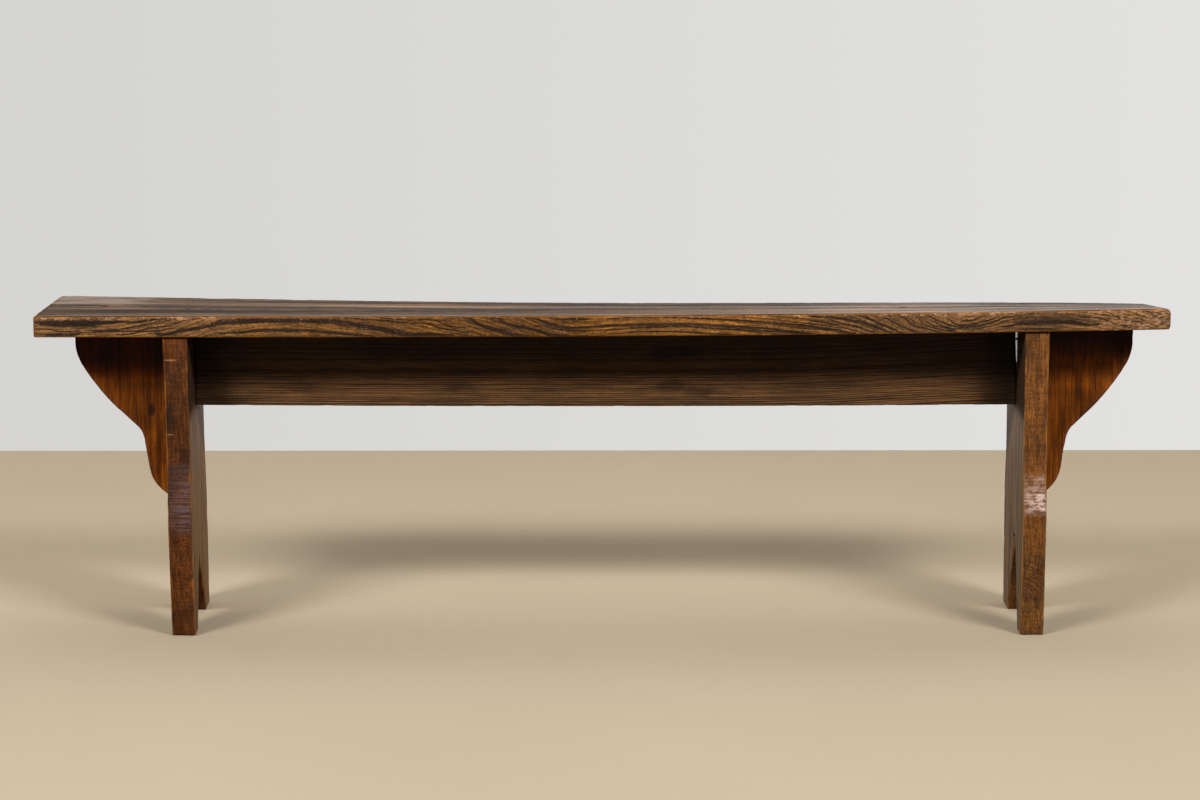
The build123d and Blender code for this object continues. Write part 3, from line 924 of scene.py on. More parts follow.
nick_reach = most(ramp(seat_parts[2], 0.0075, 0.0115), times(ramp(seat_share, 0.9, 0.965), 0.75))
nick_and_glint = times(nick_and_glint, nick_reach)
edge_colour = tint_over(times(nick_and_glint, 0.65), edge_colour, seen(206, 158, 124))
edge_layer["scratch"] = most(edge_layer["scratch"], nick_and_glint)
print("edge worn:", seat_finish.name)

# %% [markdown]
# The top of the plank is the same wood under more varnish, dirt and polish. Seen at a low angle it
# mirrors the pale wall, so its streaks show as much in how rough they are as in their colour. Three
# small knots were found in the photograph by tracing their pixels back onto the plank.
# %% Mix the seat's top and close its finish
top_look = dict(
    edge_look, ring_width=0.0052, late_share=0.4, late_strength=0.7, thin_strength=0.45,
    early=seen(124, 90, 60), late=seen(44, 28, 17), fibre_length=0.12, fibre_width=0.0014,
    fibre_strength=0.3, uneven=1.9, even=0.4, coarse_length=0.4, coarse_width=0.016, coarse_strength=0.85,
    cloud=0.3, cloud_dark=0.6, wear=0.6, wear_strength=0.6, scratch_share=0.35, scratch_strength=0.25,
    rough=0.5, scuff=seen(150, 120, 104), speck=0.15, pore_share=0.3, pore_length=0.014, thin_width=0.29,
    softness=0.4,
)
streak_place = stretched(seat_place, 1.3, 0.03)
top_streaks = mottle(streak_place, 4.0, 0.62)
knot_push, knot_dark = 0.0, 0.0
for along, across, size, reach in (
    (-0.066, 0.075, 0.008, 6.0), (0.432, 0.085, 0.005, 5.0), (0.112, 0.06, 0.004, 4.0),
):
    spot = use(knot, {
        "Place": seat_place, "Along": along, "Across": across, "Through": seat_parts[2], "Size": size,
        "Reach": reach,
    })
    knot_push = times_plus(spot["Push"], size * 1.6, knot_push)
    knot_dark = most(spot["Dark"], knot_dark)
knot_drift = plus(seat_drift, knot_push)
knot_flow = joined(y=knot_push)
top_layer = grain_layers(top_look, knot_drift, knot_flow)
light_up(top_layer, ramp(top_streaks, 0.4, 0.62, 0.5, 1.25))
top_light = curve_along(seat_share, [
    (0, 0.72), (0.1, 0.72), (0.2, 0.95), (0.35, 1), (0.48, 0.72), (0.66, 0.7), (0.74, 0.95), (1, 1),
])
light_up(top_layer, top_light)
lay(top_layer, knot_dark, seen(26, 17, 12))
# Rubbed patches at the back, left and right of the middle: worn varnish, with painted sheen in their pale
# colour.
rub_and_sheen = mottle(stretched(seat_place, 0.07, 0.006), 4.0, 0.6)
rub_and_sheen_left = times(ramp(seat_parts[0], -0.7, -0.6, 1.7, 0.3), ramp(seat_parts[1], -0.02, 0.05))
rub_and_sheen_right = times(ramp(seat_parts[0], 0.3, 0.42), ramp(seat_parts[0], 0.62, 0.5))
rub_and_sheen_right = times(rub_and_sheen_right, ramp(seat_parts[1], -0.02, 0.05))
rub_and_sheen = times_plus(most(rub_and_sheen_left, rub_and_sheen_right), 0.16, rub_and_sheen)
rub_and_sheen = ramp(rub_and_sheen, 0.6, 0.8)
lay(top_layer, times(rub_and_sheen, 0.6), seen(168, 148, 132))
top_colour = wear_layers(top_look, top_layer)
up = numbers_of(put("NewGeometry").outputs["Normal"])[2]
topside = ramp(up, 0.5, 0.92)
seat_colour = tint_over(topside, edge_colour, top_colour)
polish = ramp(top_streaks, 0.4, 0.62, 0.22, -0.08)
right_polish = ramp(seat_parts[0], 0.15, 0.35, 0.06, -0.06)
top_rough = times(plus(polish, right_polish), topside)
close_finish(edge_look, edge_layer, seat_colour, None, top_rough)
print("finish:", seat_finish.name)

# %% [markdown]
# The seat is one thick plank, sawn square, that has since warped: seen from the front it sags at the
# back and winds up at its right end. It starts as a cube scaled to the straight plank. Its corners and
# arrises are bevelled while the mesh is coarse, because a bevel needs room, and only then is it cut into
# small faces. Last, every vertex is lifted onto the warped plank of the frame.
# %% Measure the warped plank
seat_low, seat_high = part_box("seat_plank")
seat_length = seat_high.x - seat_low.x
seat_depth = seat_high.y - seat_low.y
seat_stations = 120
seat_margin = 0.012
probe_y, end_probe_y = 0.112, 0.1
end_probe_x, beyond_end = 0.76, 1.2


def plank_section(x):
    """The plank's underside and top at the front and at the back, measured clear of the nails."""
    heights = []
    for y in (-probe_y, probe_y):
        heights.append(cast("seat_plank", (x, y, 0), (0, 0, 1)).z)
        heights.append(cast("seat_plank", (x, y, 1), (0, 0, -1)).z)
    return heights


seat_span = seat_length - 2 * seat_margin
plank_sections = [
    plank_section(seat_low.x + seat_margin + seat_span * step / seat_stations)
    for step in range(seat_stations + 1)
]


def plank_heights(x, y):
    """The height of the plank's underside and of its top above a point of the floor."""
    place = (x - seat_low.x - seat_margin) / seat_span * seat_stations
    step = int(held(math.floor(place), 0, seat_stations - 1))
    near, far = plank_sections[step], plank_sections[step + 1]
    front_under, front_top, back_under, back_top = (between(a, b, place - step) for a, b in zip(near, far))
    back_share = (y + probe_y) / (2 * probe_y)
    return between(front_under, back_under, back_share), between(front_top, back_top, back_share)


def plank_end(side, y):
    """Where the plank ends on one side."""
    under, top = plank_heights(side * end_probe_x, y)
    return cast("seat_plank", (side * beyond_end, y, (under + top) / 2), (-side, 0, 0)).x


seat_ends = {side: [plank_end(side, y) for y in (-end_probe_y, end_probe_y)] for side in (-1, 1)}
seat_thickness = plank_sections[0][1] - plank_sections[0][0]
print("plank thickness in mm:", round(1000 * seat_thickness, 1))

# %% [markdown]
# A joiner takes the sharpness off every arris with a plane, and the corners at the back were rounded
# more than those in front. Near the right end two extra cuts are laid, because that end was knocked
# round and needs vertices for its curve. The small faces are the room that wear needs afterwards.
# %% Cut the straight plank


def sharp_edges(board, least=0.6):
    """The outward corners of a board."""
    edges = [edge for edge in board.edges if edge.is_manifold and edge.is_convex]
    return [edge for edge in edges if edge.calc_face_angle() > least]


def round_edges(board, edges, radius, segments=3):
    """Rounds some edges of a board."""
    bmesh.ops.bevel(
        board, geom=edges, offset=radius, offset_type="OFFSET", segments=segments, profile=0.5,
        affect="EDGES", material=-1, clamp_overlap=True,
    )


def runs_along(edge, axis, least):
    """True for an edge that runs along an axis for at least that length."""
    way = edge.verts[1].co - edge.verts[0].co
    return abs(way[axis]) > least and abs(way[axis]) > 0.8 * way.length


def slice_board(board, axis, least, cuts):
    """Cuts every edge that runs along an axis into equal parts."""
    chosen = [edge for edge in board.edges if runs_along(edge, axis, least)]
    bmesh.ops.subdivide_edges(board, edges=chosen, cuts=cuts, use_grid_fill=True)


def straight_board(length, depth, height):
    """A cube scaled to the size of a board."""
    board = bmesh.new()
    bmesh.ops.create_cube(board, size=1)
    bmesh.ops.scale(board, vec=(length, depth, height), verts=board.verts)
    return board


front_corner, back_corner, plank_arris_radius = 0.003, 0.008, 0.0023
plank = straight_board(seat_length, seat_depth, seat_thickness)
uprights = [edge for edge in plank.edges if runs_along(edge, 2, 0.01)]
round_edges(plank, [edge for edge in uprights if edge.verts[0].co.y < 0], front_corner)
uprights = [edge for edge in plank.edges if runs_along(edge, 2, 0.01) and edge.calc_face_angle() > 1]
round_edges(plank, uprights, back_corner, 4)
rims = [edge for edge in plank.edges if edge.calc_face_angle() > 1 and not runs_along(edge, 2, 0.01)]
round_edges(plank, rims, plank_arris_radius)
for end_distance in (0.0036, 0.0055):
    everything = plank.verts[:] + plank.edges[:] + plank.faces[:]
    bmesh.ops.bisect_plane(
        plank, geom=everything, plane_co=(seat_length / 2 - end_distance, 0, 0), plane_no=(1, 0, 0),
    )
slice_board(plank, 0, 0.1, 449)
slice_board(plank, 1, 0.05, 54)
slice_board(plank, 2, 0.01, 7)
print("the straight plank has", len(plank.faces), "faces")

# %% [markdown]
# Cut nails hold the plank down. Each was driven just below the surface, so its head lies in a small
# square pit. The pits are inset into the few faces over each nail and fitted to its head.
# %% Sink a pit over each nail


def nail_boxes(node):
    """The lowest and highest corner of every nail of a CAD node."""
    copy = bmesh.new()
    copy.from_mesh(nodes[node].data)
    bmesh.ops.remove_doubles(copy, verts=copy.verts, dist=1e-6)
    waiting = set(copy.verts)
    boxes = []
    while waiting:
        group = [waiting.pop()]
        for vertex in group:
            for edge in vertex.link_edges:
                other = edge.other_vert(vertex)
                if other in waiting:
                    waiting.discard(other)
                    group.append(other)
        low = Vector([min(vertex.co[axis] for vertex in group) for axis in range(3)])
        high = Vector([max(vertex.co[axis] for vertex in group) for axis in range(3)])
        boxes.append((low, high))
    copy.free()
    return sorted(boxes, key=lambda box: tuple(box[0]))


rim_gap, floor_gap = 0.0011, 0.0003


def fit_to_head(vertices, flat_axes, centre, half_sizes):
    """Moves a patch's vertices so that their outline is the nail head's."""
    for axis, half_size in zip(flat_axes, half_sizes):
        low = min(vertex.co[axis] for vertex in vertices)
        high = max(vertex.co[axis] for vertex in vertices)
        for vertex in vertices:
            share = (vertex.co[axis] - low) / (high - low)
            vertex.co[axis] = centre[axis] + half_size * (2 * share - 1)


def sink_pit(board, outward, reaches, box, depth):
    """Insets the faces that look outward over a nail and pushes them in, to the size of its head."""
    low, high = box
    centre = (low + high) / 2
    faces = [
        face
        for face in board.faces
        if outward(face) and all(
            abs(face.calc_center_median()[axis] - centre[axis]) < reach for axis, reach in reaches.items()
        )
    ]
    flat_axes = list(reaches)
    half_sizes = [(high[axis] - low[axis]) / 2 for axis in flat_axes]
    rim = {vertex for face in faces for vertex in face.verts}
    fit_to_head(rim, flat_axes, centre, [half + rim_gap for half in half_sizes])
    bmesh.ops.inset_region(board, faces=faces, thickness=0.0003, depth=0, use_even_offset=True)
    floor_vertices = {vertex for face in faces for vertex in face.verts}
    fit_to_head(floor_vertices, flat_axes, centre, [half + floor_gap for half in half_sizes])
    normal = sum((face.normal for face in faces), Vector()).normalized()
    for vertex in floor_vertices:
        vertex.co -= normal * depth


plank.normal_update()
plank_shift = Vector(((seat_low.x + seat_high.x) / 2, 0, 0))
seat_nails = []
for node in ("seat_to_left_leg_nails", "seat_to_right_leg_nails", "seat_to_rail_nails",
             "left_bracket_nails", "right_bracket_nails"):
    seat_nails.extend(box for box in nail_boxes(node) if box[1].z - box[0].z > 0.03)
for low, high in seat_nails:
    sink_pit(
        plank, lambda face: face.normal.z > 0.99 and face.calc_center_median().z > 0,
        {0: 0.0039, 1: 0.0032}, (low - plank_shift, high - plank_shift), 0.0017,
    )
print("pits sunk over", len(seat_nails), "nails")

# %% [markdown]
# Now the plank is marked, warped and worn. The right end was rounded by years of knocks, more at the
# top than below, so its vertices are drawn in along a quarter circle. A few larger chips along the
# front arris are listed one by one.
# %% Warp and wear the plank
mark_places(plank, lambda place: place.copy())


def plank_arris(place):
    """The distance to the nearest arris of the straight plank: the second smallest gap to its faces."""
    gaps = sorted((
        seat_length / 2 - abs(place.x), seat_depth / 2 - abs(place.y), seat_thickness / 2 - abs(place.z),
    ))
    return gaps[1]


mark_arrises(plank, plank_arris)


def end_round(distance, radius):
    """How much of the half thickness is left near a rounded end."""
    gap = max(0, radius - distance)
    drop = radius - math.sqrt(radius * radius - gap * gap)
    return 1 - drop / (seat_thickness / 2)


upper_round, lower_round = 0.0072, 0.0042
for vertex in plank.verts:
    x, y, z = vertex.co
    z *= end_round(seat_length / 2 - x, upper_round if z > 0 else lower_round)
    ends = [between(*seat_ends[side], (y + end_probe_y) / (2 * end_probe_y)) for side in (-1, 1)]
    warped_x = between(ends[0], ends[1], x / seat_length + 0.5)
    under, top = plank_heights(warped_x, y)
    vertex.co = (warped_x, y, between(under, top, z / seat_thickness + 0.5))

# where along the plank, how wide and how deep, in metres
chips = [
    (-0.560, 0.008, 0.0016), (-0.545, 0.005, 0.0012), (-0.515, 0.012, 0.0019), (-0.505, 0.006, 0.0022),
    (-0.330, 0.006, 0.0010), (-0.120, 0.005, 0.0012), (0.045, 0.007, 0.0012), (0.190, 0.005, 0.0014),
    (0.330, 0.009, 0.0014), (0.420, 0.006, 0.0018), (0.462, 0.008, 0.0018), (0.485, 0.005, 0.0016),
    (0.545, 0.007, 0.0014), (0.610, 0.010, 0.0016), (0.700, 0.008, 0.0015), (0.740, 0.012, 0.0020),
]
weather(plank, 1.7, 0.0004, 0.0011, lambda place: plank_heights(place.x, place.y)[0] > place.z - 0.0004)
for vertex in plank.verts:
    if vertex.co.y > -0.105 or vertex.co.z < plank_heights(vertex.co.x, vertex.co.y)[1] - 0.012:
        continue
    for place, reach, depth in chips:
        share = held(1 - abs(vertex.co.x - place) / reach)
        bite = depth * share * vertex[plank.verts.layers.float["arris"]]
        vertex.co += Vector((0, 0.7 * bite, -0.7 * bite))
finish_board(plank, "seat_plank", seat_finish)

# %% [markdown]
# Each leg is one upright board. Its front and back edges run down plumb to a shoulder, slope out to a
# swelling and taper to the foot, and a V is sawn out between the feet. The edges are read from the frame
# row by row. A grid of two columns, one for each foot, is split along the line of the V and fitted to
# them, then pushed to the board's thickness.
# %% Read a leg's outline from the frame
leg_clear_height = 0.38
floor_clearance = 0.0004


def leg_outline(node):
    """What is needed to draw a leg: its faces, its top, its edges at any height and its V."""
    low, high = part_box(node)
    middle = (low.x + high.x) / 2
    spots = [(-0.09, leg_clear_height), (0.09, leg_clear_height), (-0.105, 0.02)]
    near = flat_face(0, *[cast(node, (middle - 0.2, y, z), (1, 0, 0)) for y, z in spots])
    far = flat_face(0, *[cast(node, (middle + 0.2, y, z), (-1, 0, 0)) for y, z in spots])
    tops = [(middle - 0.01, -0.06), (middle + 0.01, -0.06), (middle, 0.06)]
    top = flat_face(2, *[cast(node, (x, y, 1), (0, 0, -1)) for x, y in tops])
    apex = max(
        (cast(node, (middle, y / 4000, 0), (0, 0, 1)) for y in range(-160, -40)), key=lambda hit: hit.z,
    )

    def edges(z):
        z = held(z, floor_clearance, leg_clear_height)
        return cast(node, (middle, -0.3, z), (0, 1, 0)).y, cast(node, (middle, 0.3, z), (0, -1, 0)).y

    def notch(z):
        z = held(z, floor_clearance, apex.z - 0.0006)
        return cast(node, (middle, apex.y, z), (0, -1, 0)).y, cast(node, (middle, apex.y, z), (0, 1, 0)).y

    return {
        "middle": middle, "near": near, "far": far, "top": top, "apex": apex, "edges": edges,
        "notch": notch,
    }


left_outline = leg_outline("left_leg")
right_outline = leg_outline("right_leg")
print("V heights in mm:", round(1000 * left_outline["apex"].z), round(1000 * right_outline["apex"].z))

# %% [markdown]
# The V is sawn by splitting the grid along its middle column, so that both feet keep their own edges up
# to the point where the saw cuts met. Above the swelling the rows are drawn out to reach the warped
# plank. The front column is narrower than the back one, so it is cut into fewer faces of the same size.
# %% Cut a leg from its outline
row_height = 0.0034
fitted_from = 0.26
leg_arris_radius = 0.0022


def pushed_out(board):
    """Gives a sheet of faces its other side, and gives the vertices of that side."""
    pushed = bmesh.ops.extrude_face_region(board, geom=board.faces[:])
    return [part for part in pushed["geom"] if isinstance(part, bmesh.types.BMVert)]


def leg_board(outline):
    """A leg's board with its V, its rounded arrises and small faces all over."""
    apex = outline["apex"]
    head = outline["top"](Vector((outline["middle"], 0, 0)))
    rows_below = round(apex.z / row_height)
    rows_above = round((head - apex.z) / row_height)
    rows = rows_below + rows_above
    board = bmesh.new()
    bmesh.ops.create_grid(board, x_segments=2, y_segments=rows, size=0.5)
    row_of = {vertex: round((vertex.co.y + 0.5) * rows) for vertex in board.verts}
    column_of = {vertex: round((vertex.co.x + 0.5) * 2) for vertex in board.verts}
    split = [
        edge for edge in board.edges
        if all(column_of[vertex] == 1 and row_of[vertex] <= rows_below for vertex in edge.verts)
    ]
    bmesh.ops.split_edges(board, edges=split)
    fitted = {}
    for vertex in board.verts:
        row = round((vertex.co.y + 0.5) * rows)
        column = round((vertex.co.x + 0.5) * 2)
        front_side = sum(face.calc_center_median().x for face in vertex.link_faces) < 0
        if row <= rows_below:
            z = apex.z * row / rows_below
        else:
            z = between(apex.z, head, (row - rows_below) / rows_above)
        front, back = outline["edges"](z)
        if column == 1 and row < rows_below:
            y = outline["notch"](z)[0 if front_side else 1]
        elif column == 1:
            y = between(apex.y, 0.0, held((z - apex.z) / (head - apex.z)))
        else:
            y = front if column == 0 else back
        lifted = outline["top"](Vector((outline["middle"], y, 0)))
        if z > fitted_from:
            z = between(fitted_from, lifted, (z - fitted_from) / (head - fitted_from))
        fitted[vertex] = Vector((outline["near"](Vector((0, y, z))), y, z))
    for vertex, place in fitted.items():
        vertex.co = place
    for vertex in pushed_out(board):
        vertex.co.x = outline["far"](vertex.co)
    bmesh.ops.recalc_face_normals(board, faces=board.faces[:])
    sharp = [edge for edge in sharp_edges(board) if min(vertex.co.z for vertex in edge.verts) < head - 0.03]
    distance = edge_finder(sharp)
    round_edges(board, sharp, leg_arris_radius)
    line = apex.y / 2
    wide = [edge for edge in board.edges if runs_along(edge, 1, 0.007)]
    foot = [edge for edge in wide if (edge.verts[0].co.y + edge.verts[1].co.y) / 2 < line]
    bmesh.ops.subdivide_edges(board, edges=foot, cuts=19, use_grid_fill=True)
    slice_board(board, 1, 0.02, 27)
    slice_board(board, 0, 0.01, 7)
    return board, distance


left_leg_board, left_leg_distance = leg_board(left_outline)
right_leg_board, right_leg_distance = leg_board(right_outline)
print("leg faces:", len(left_leg_board.faces), len(right_leg_board.faces))

# %% [markdown]
# The legs are the same wood with upright grain. What sets them apart is the sloping facet above each
# swelling: it was sawn across the grain and never planed, so it keeps fine level saw marks. Its dry,
# greyish colour is dust and worn varnish, with painted sheen and highlights. A third mark in the mesh,
# "facet", says where it is.
# %% Mix the leg finishes


def inside(value, low, high, soft=0.001):
    """1 where a value lies between two limits, with soft ends."""
    return times(ramp(value, low - soft, low + soft), ramp(value, high - soft, high + soft, 1.0, 0.0))


def leg_finish(
    name, look, facet_dust_and_glint, facet_share, blotch_share, curl_share, nicks=(), bruise=None, polished=None,
):
    """The finish of one leg: its sawn edges and facets, and its planed sides."""
    material = new_finish(name)
    layer = grain_layers(look)
    place = mark("board")
    height, across, through = numbers_of(place)
    normal_x = numbers_of(put("NewGeometry").outputs["Normal"])[0]
    on_side = ramp(reckon("ABSOLUTE", normal_x), 0.55, 0.9)
    off_side = minus(1.0, on_side)

    blotch = mottle(stretched(layer["place"], 0.055, 0.03), 5.0, 0.62)
    blotch = times(ramp(blotch, 0.42, 0.66), blotch_share)
    edge_colour = tint_over(blotch, layer["colour"], look["late"])
    curl_place = joined(across, height, through)
    curl = use(rings, {
        "Place": curl_place, "Pith Across": 0.03, "Pith Below": 0.014, "Ring Width": 0.0046, "Waver": 0.012,
        "Waver Length": 0.08, "Late Share": 0.4, "Softness": 0.7,
    })["Late Wood"]
    curl = times(curl, inside(height, 0.045, 0.112, 0.012), curl_share)
    edge_colour = tint_over(curl, edge_colour, look["pore"])
    marks = mottle(stretched(layer["place"], 0.0019, 0.03), 2.0, 0.6)
    edge_colour = shaded(edge_colour, ramp(marks, 0.35, 0.65, 0.84, 1.16))
    for nick_height, start, end in nicks:
        cut = inside(height, nick_height - 0.0006, nick_height + 0.0006, 0.0009)
        cut = times(cut, inside(through, start, end, 0.003))
        cut = times(cut, ramp(marks, 0.3, 0.6, 0.3, 0.9))
        edge_colour = tint_over(cut, edge_colour, seen(196, 140, 84))

    streak_place = stretched(layer["place"], 0.2, 0.012)
    streaks = mottle(streak_place, 4.0, 0.6)
    side_colour = tint_over(layer["late"], look["side_early"], look["side_late"])
    side_colour = shaded(side_colour, ramp(streaks, 0.38, 0.62, 0.5, 1.25))
    side_colour = shaded(side_colour, ramp(layer["fine"], 0.0, 1.0, 0.75, 1.2))
    # Painted shade: the inner face darkens above the rail's bottom, under the seat, with a streaky edge.
    inward = ramp(times(normal_x, look["inward"]), 0.5, 0.9)
    under_seat_shade = ramp(times_plus(streaks, 0.08, height), 0.333, 0.353)
    under_seat_shade = times(under_seat_shade, inward)
    side_colour = tint_over(times(under_seat_shade, 0.93), side_colour, look["under_seat_shade_colour"])
    if bruise is not None:
        spot = use(knot, {
            "Place": place, "Along": bruise[0], "Across": bruise[1], "Through": through, "Size": bruise[2],
        })
        side_colour = tint_over(times(spot["Dark"], 0.8), side_colour, look["pore"])
    middle = inside(height, 0.22, 0.34, 0.04)
    edge_colour = shaded(edge_colour, ramp(middle, 0.0, 1.0, 1.0, look["middle_light"]))
    edge_colour = tint_over(ramp(height, 0.15, 0.1), edge_colour, look["foot"], "MULTIPLY")
    layer["colour"] = tint_over(on_side, edge_colour, side_colour)

    for side_gap, low, high in look["bright_arrises"]:
        strip = inside(through, side_gap - 0.0022, side_gap + 0.0022, 0.0012)
        strip = times(strip, inside(height, low, high, 0.012), off_side)
        strip = times(strip, ramp(blotch, 0.5, 0.1), ramp(layer["cloud"], 0.2, 0.6))
        layer["worn"] = most(layer["worn"], strip)

    # The facet's pale colour is partly dust and worn varnish and partly painted highlights on its saw
    # marks.
    facet = mark("facet", "Fac")
    saw = mottle(stretched(layer["place"], 0.0023, 0.04), 2.0)
    crinkle = mottle(stretched(layer["place"], look["crinkle_size"], 2.2 * look["crinkle_size"]), 4.0, 0.6)
    mixed = times_plus(crinkle, look["crinkle"], times(saw, 1 - look["crinkle"]))
    facet_light = ramp(mixed, 0.42, 0.6, 0.08, 1.0)
    facet_light = times(facet_light, ramp(height, look["facet_from"], look["facet_from"] + 0.02, 1.0, 0.36))
    facet_light = times(facet_light, ramp(through, 0.0, 0.03, 0.65, 1.4))
    share = times(facet, facet_light, facet_share)
    light_up(layer, ramp(facet, 0.0, 1.0, 1.0, look["facet_dark"]))
    lay(layer, share, facet_dust_and_glint)
    colour = wear_layers(look, layer)
    ridges = times(mixed, facet, 0.0005)
    ridges = times_plus(times(marks, off_side), 0.00012, ridges)
    grit = mottle(layer["place"], 2.0, 0.6, scale=420.0)
    grit = times(grit, on_side, ramp(height, 0.28, 0.32))
    ridges = times_plus(grit, 0.0025, ridges)
    rough = times_plus(on_side, 0.12, times(facet, -0.04))
    dry = times(on_side, ramp(height, 0.296, 0.314, 0.0, 0.3))
    rough = plus(rough, dry)
    if polished is not None:
        smooth = times(inside(height, *polished[0]), inside(across, *polished[1]))
        rough = times_plus(smooth, -0.85, rough)
    close_finish(look, layer, colour, ridges, rough)
    return material


print("the finish of a leg is described, and neither leg has it yet")

# %% [markdown]
# Both legs share one look and differ in a few values. The left one is redder and darker, and its facet
# is dull. The right one is paler and greyer, has lost more stain at its arrises, and its facet is rough
# with bright painted highlights. Both inner faces get painted shade under the seat. A bruise and two
# nicks were placed where the photograph has them.
# %% Finish the left and the right leg
leg_look = dict(
    plain_look, pith_across=0.03, pith_below=0.05, ring_width=0.0042, waver=0.006, waver_length=0.14,
    late_share=0.4, late_strength=0.45, thin_strength=0.3, pore_share=0.5, pore_strength=0.7,
    pore_length=0.008, pore_width=0.0016, speck=0.25, cloud=0.08, cloud_dark=0.65, coarse_strength=0.15,
    fibre_strength=0.35, fibre_length=0.02, fibre_width=0.0016, wear=0.75, wear_strength=0.6, rough=0.48,
    gloss=0.28, scratch_share=0.5, scratch_strength=0.3, crinkle=0.2, crinkle_size=0.0026, middle_light=1.0,
    facet_dark=0.85, facet_from=0.205, foot=(0.86, 0.86, 0.84, 1), under_seat_shade_colour=seen(58, 33, 13), inward=1.0,
    bright_arrises=(), side_early=seen(134, 96, 56), side_late=seen(82, 55, 31),
)
left_look = dict(
    leg_look, early=seen(116, 62, 18), late=seen(42, 22, 10), bare=seen(186, 106, 24), middle_light=0.63,
    gloss=0.22, wear=0.62, wear_strength=0.62, side_early=seen(141, 100, 57), facet_dark=0.5,
    bright_arrises=((0.0, 0.22, 0.44), (0.0325, 0.02, 0.09)),
)
right_look = dict(
    leg_look, shift=(0.4, 0, 0), early=seen(135, 81, 31), late=seen(58, 33, 14), foot=(0.78, 0.86, 1.0, 1),
    pore_share=0.65, pore_strength=0.8, bare=seen(178, 114, 40), wear_strength=0.7, crinkle=0.75,
    crinkle_size=0.0045, facet_from=0.193, under_seat_shade_colour=seen(62, 36, 14), inward=-1.0,
    bright_arrises=((0.0, 0.2, 0.3), (0.0335, 0.24, 0.4)), side_early=seen(134, 102, 69),
)
left_leg_finish = leg_finish(
    "left_leg_wood", left_look, seen(96, 74, 72), 0.75, 0.7, 0.3,
    nicks=((0.384, 0.001, 0.017), (0.281, 0.001, 0.01)),
)
right_leg_finish = leg_finish(
    "right_leg_wood", right_look, seen(214, 182, 166), 0.85, 0.45, 0.6,
    bruise=(0.124, -0.008, 0.008), polished=((0.366, 0.425), (-0.0095, 0.04)),
)
print("finishes:", left_leg_finish.name, right_leg_finish.name)

# %% [markdown]
# The grain of a leg runs up, so its mesh stores height first. The facet mark covers the sloping sawn
# part above the swelling and fades out at its ends. The top of the board stays unworn, because it sits
# tight under the plank.
# %% Mark, wear and finish the legs


def dress_leg(board, outline, distance, name, seed, facet_low, facet_high, material):
    """Marks a leg's grain, arrises and facets, wears it and makes it a piece."""
    near = outline["near"]
    mark_places(board, lambda place: Vector((place.z, place.y, place.x - near(place))))
    mark_arrises(board, distance)
    layer = board.verts.layers.float.new("facet")
    board.normal_update()
    for vertex in board.verts:
        level = held((vertex.co.z - facet_low) / 0.012) * held((facet_high - vertex.co.z) / 0.008)
        vertex[layer] = level * held((abs(vertex.normal.y) - 0.75) / 0.2)
    head = outline["top"](Vector((outline["middle"], 0, 0)))
    weather(board, seed, 0.00035, 0.0011, lambda place: place.z > head - 0.025)
    finish_board(board, name, material)


dress_leg(left_leg_board, left_outline, left_leg_distance, "left_leg", 3.1, 0.14, 0.243, left_leg_finish)
dress_leg(
    right_leg_board, right_outline, right_leg_distance, "right_leg", 4.3, 0.168, 0.227, right_leg_finish,
)

# %% [markdown]
# The rail is a thin board on edge under the middle of the seat. Its top follows the plank, its bottom
# bows a little, and its right end has drawn away from the leg at the top. A cube scaled to the straight
# rail is bevelled and cut, then each vertex is moved to where the frame's rail is.
# %% Build the rail
rail_low, rail_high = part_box("centre_rail")
rail_length = rail_high.x - rail_low.x
rail_height = rail_high.z - rail_low.z
rail_thickness = rail_high.y - rail_low.y
rail_side = 0.008
rail_clear_low, rail_clear_high = 0.3075, 0.4125
rail_clear_left, rail_clear_right = -0.566, 0.5715
left_underside, left_probe, left_run = 0.3062, -0.5, 0.07

rail = straight_board(rail_length, rail_thickness, rail_height)
round_edges(
    rail, [edge for edge in rail.edges if runs_along(edge, 0, 0.1) and edge.verts[0].co.z < 0], 0.0018,
)
slice_board(rail, 0, 0.1, 299)
slice_board(rail, 2, 0.05, 30)
slice_board(rail, 1, 0.01, 6)


def rail_arris(place):
    """The distance to the rail's two lower arrises."""
    side_gap = rail_thickness / 2 - abs(place.y)
    under_gap = place.z + rail_height / 2
    return max(side_gap, under_gap)


mark_places(rail, lambda place: Vector((place.x, place.z, place.y)))
mark_arrises(rail, rail_arris)
for vertex in rail.verts:
    x, y, z = vertex.co
    share_up = z / rail_height + 0.5
    share_along = x / rail_length + 0.5
    end_height = held(
        between(rail_low.z + 0.003, rail_high.z - 0.003, share_up), rail_clear_low, rail_clear_high,
    )
    left_end = cast("centre_rail", (-1, rail_side, end_height), (1, 0, 0)).x
    right_end = cast("centre_rail", (1, rail_side, end_height), (-1, 0, 0)).x
    near_end, near_back = held((share_along - 0.975) / 0.025), held(y / rail_thickness + 0.5)
    undercut = 0.0055 * near_end * near_back * held((share_up - 0.35) / 0.2)
    warped_x = between(left_end, right_end, share_along) - undercut
    clear_x = held(warped_x, rail_clear_left, rail_clear_right)
    under = cast("centre_rail", (clear_x, rail_side, 0.1), (0, 0, 1)).z
    if clear_x < left_probe:
        under = cast("centre_rail", (left_probe, rail_side, 0.1), (0, 0, 1)).z
        under = between(under, left_underside, (left_probe - clear_x) / left_run)
    over = cast("centre_rail", (clear_x, rail_side, 1), (0, 0, -1)).z
    vertex.co = (warped_x, y, between(under, over, share_up))
weather(rail, 6.2, 0.0003, 0.0009, lambda place: place.z > 0.405)
print("rail length in mm:", round(1000 * rail_length))
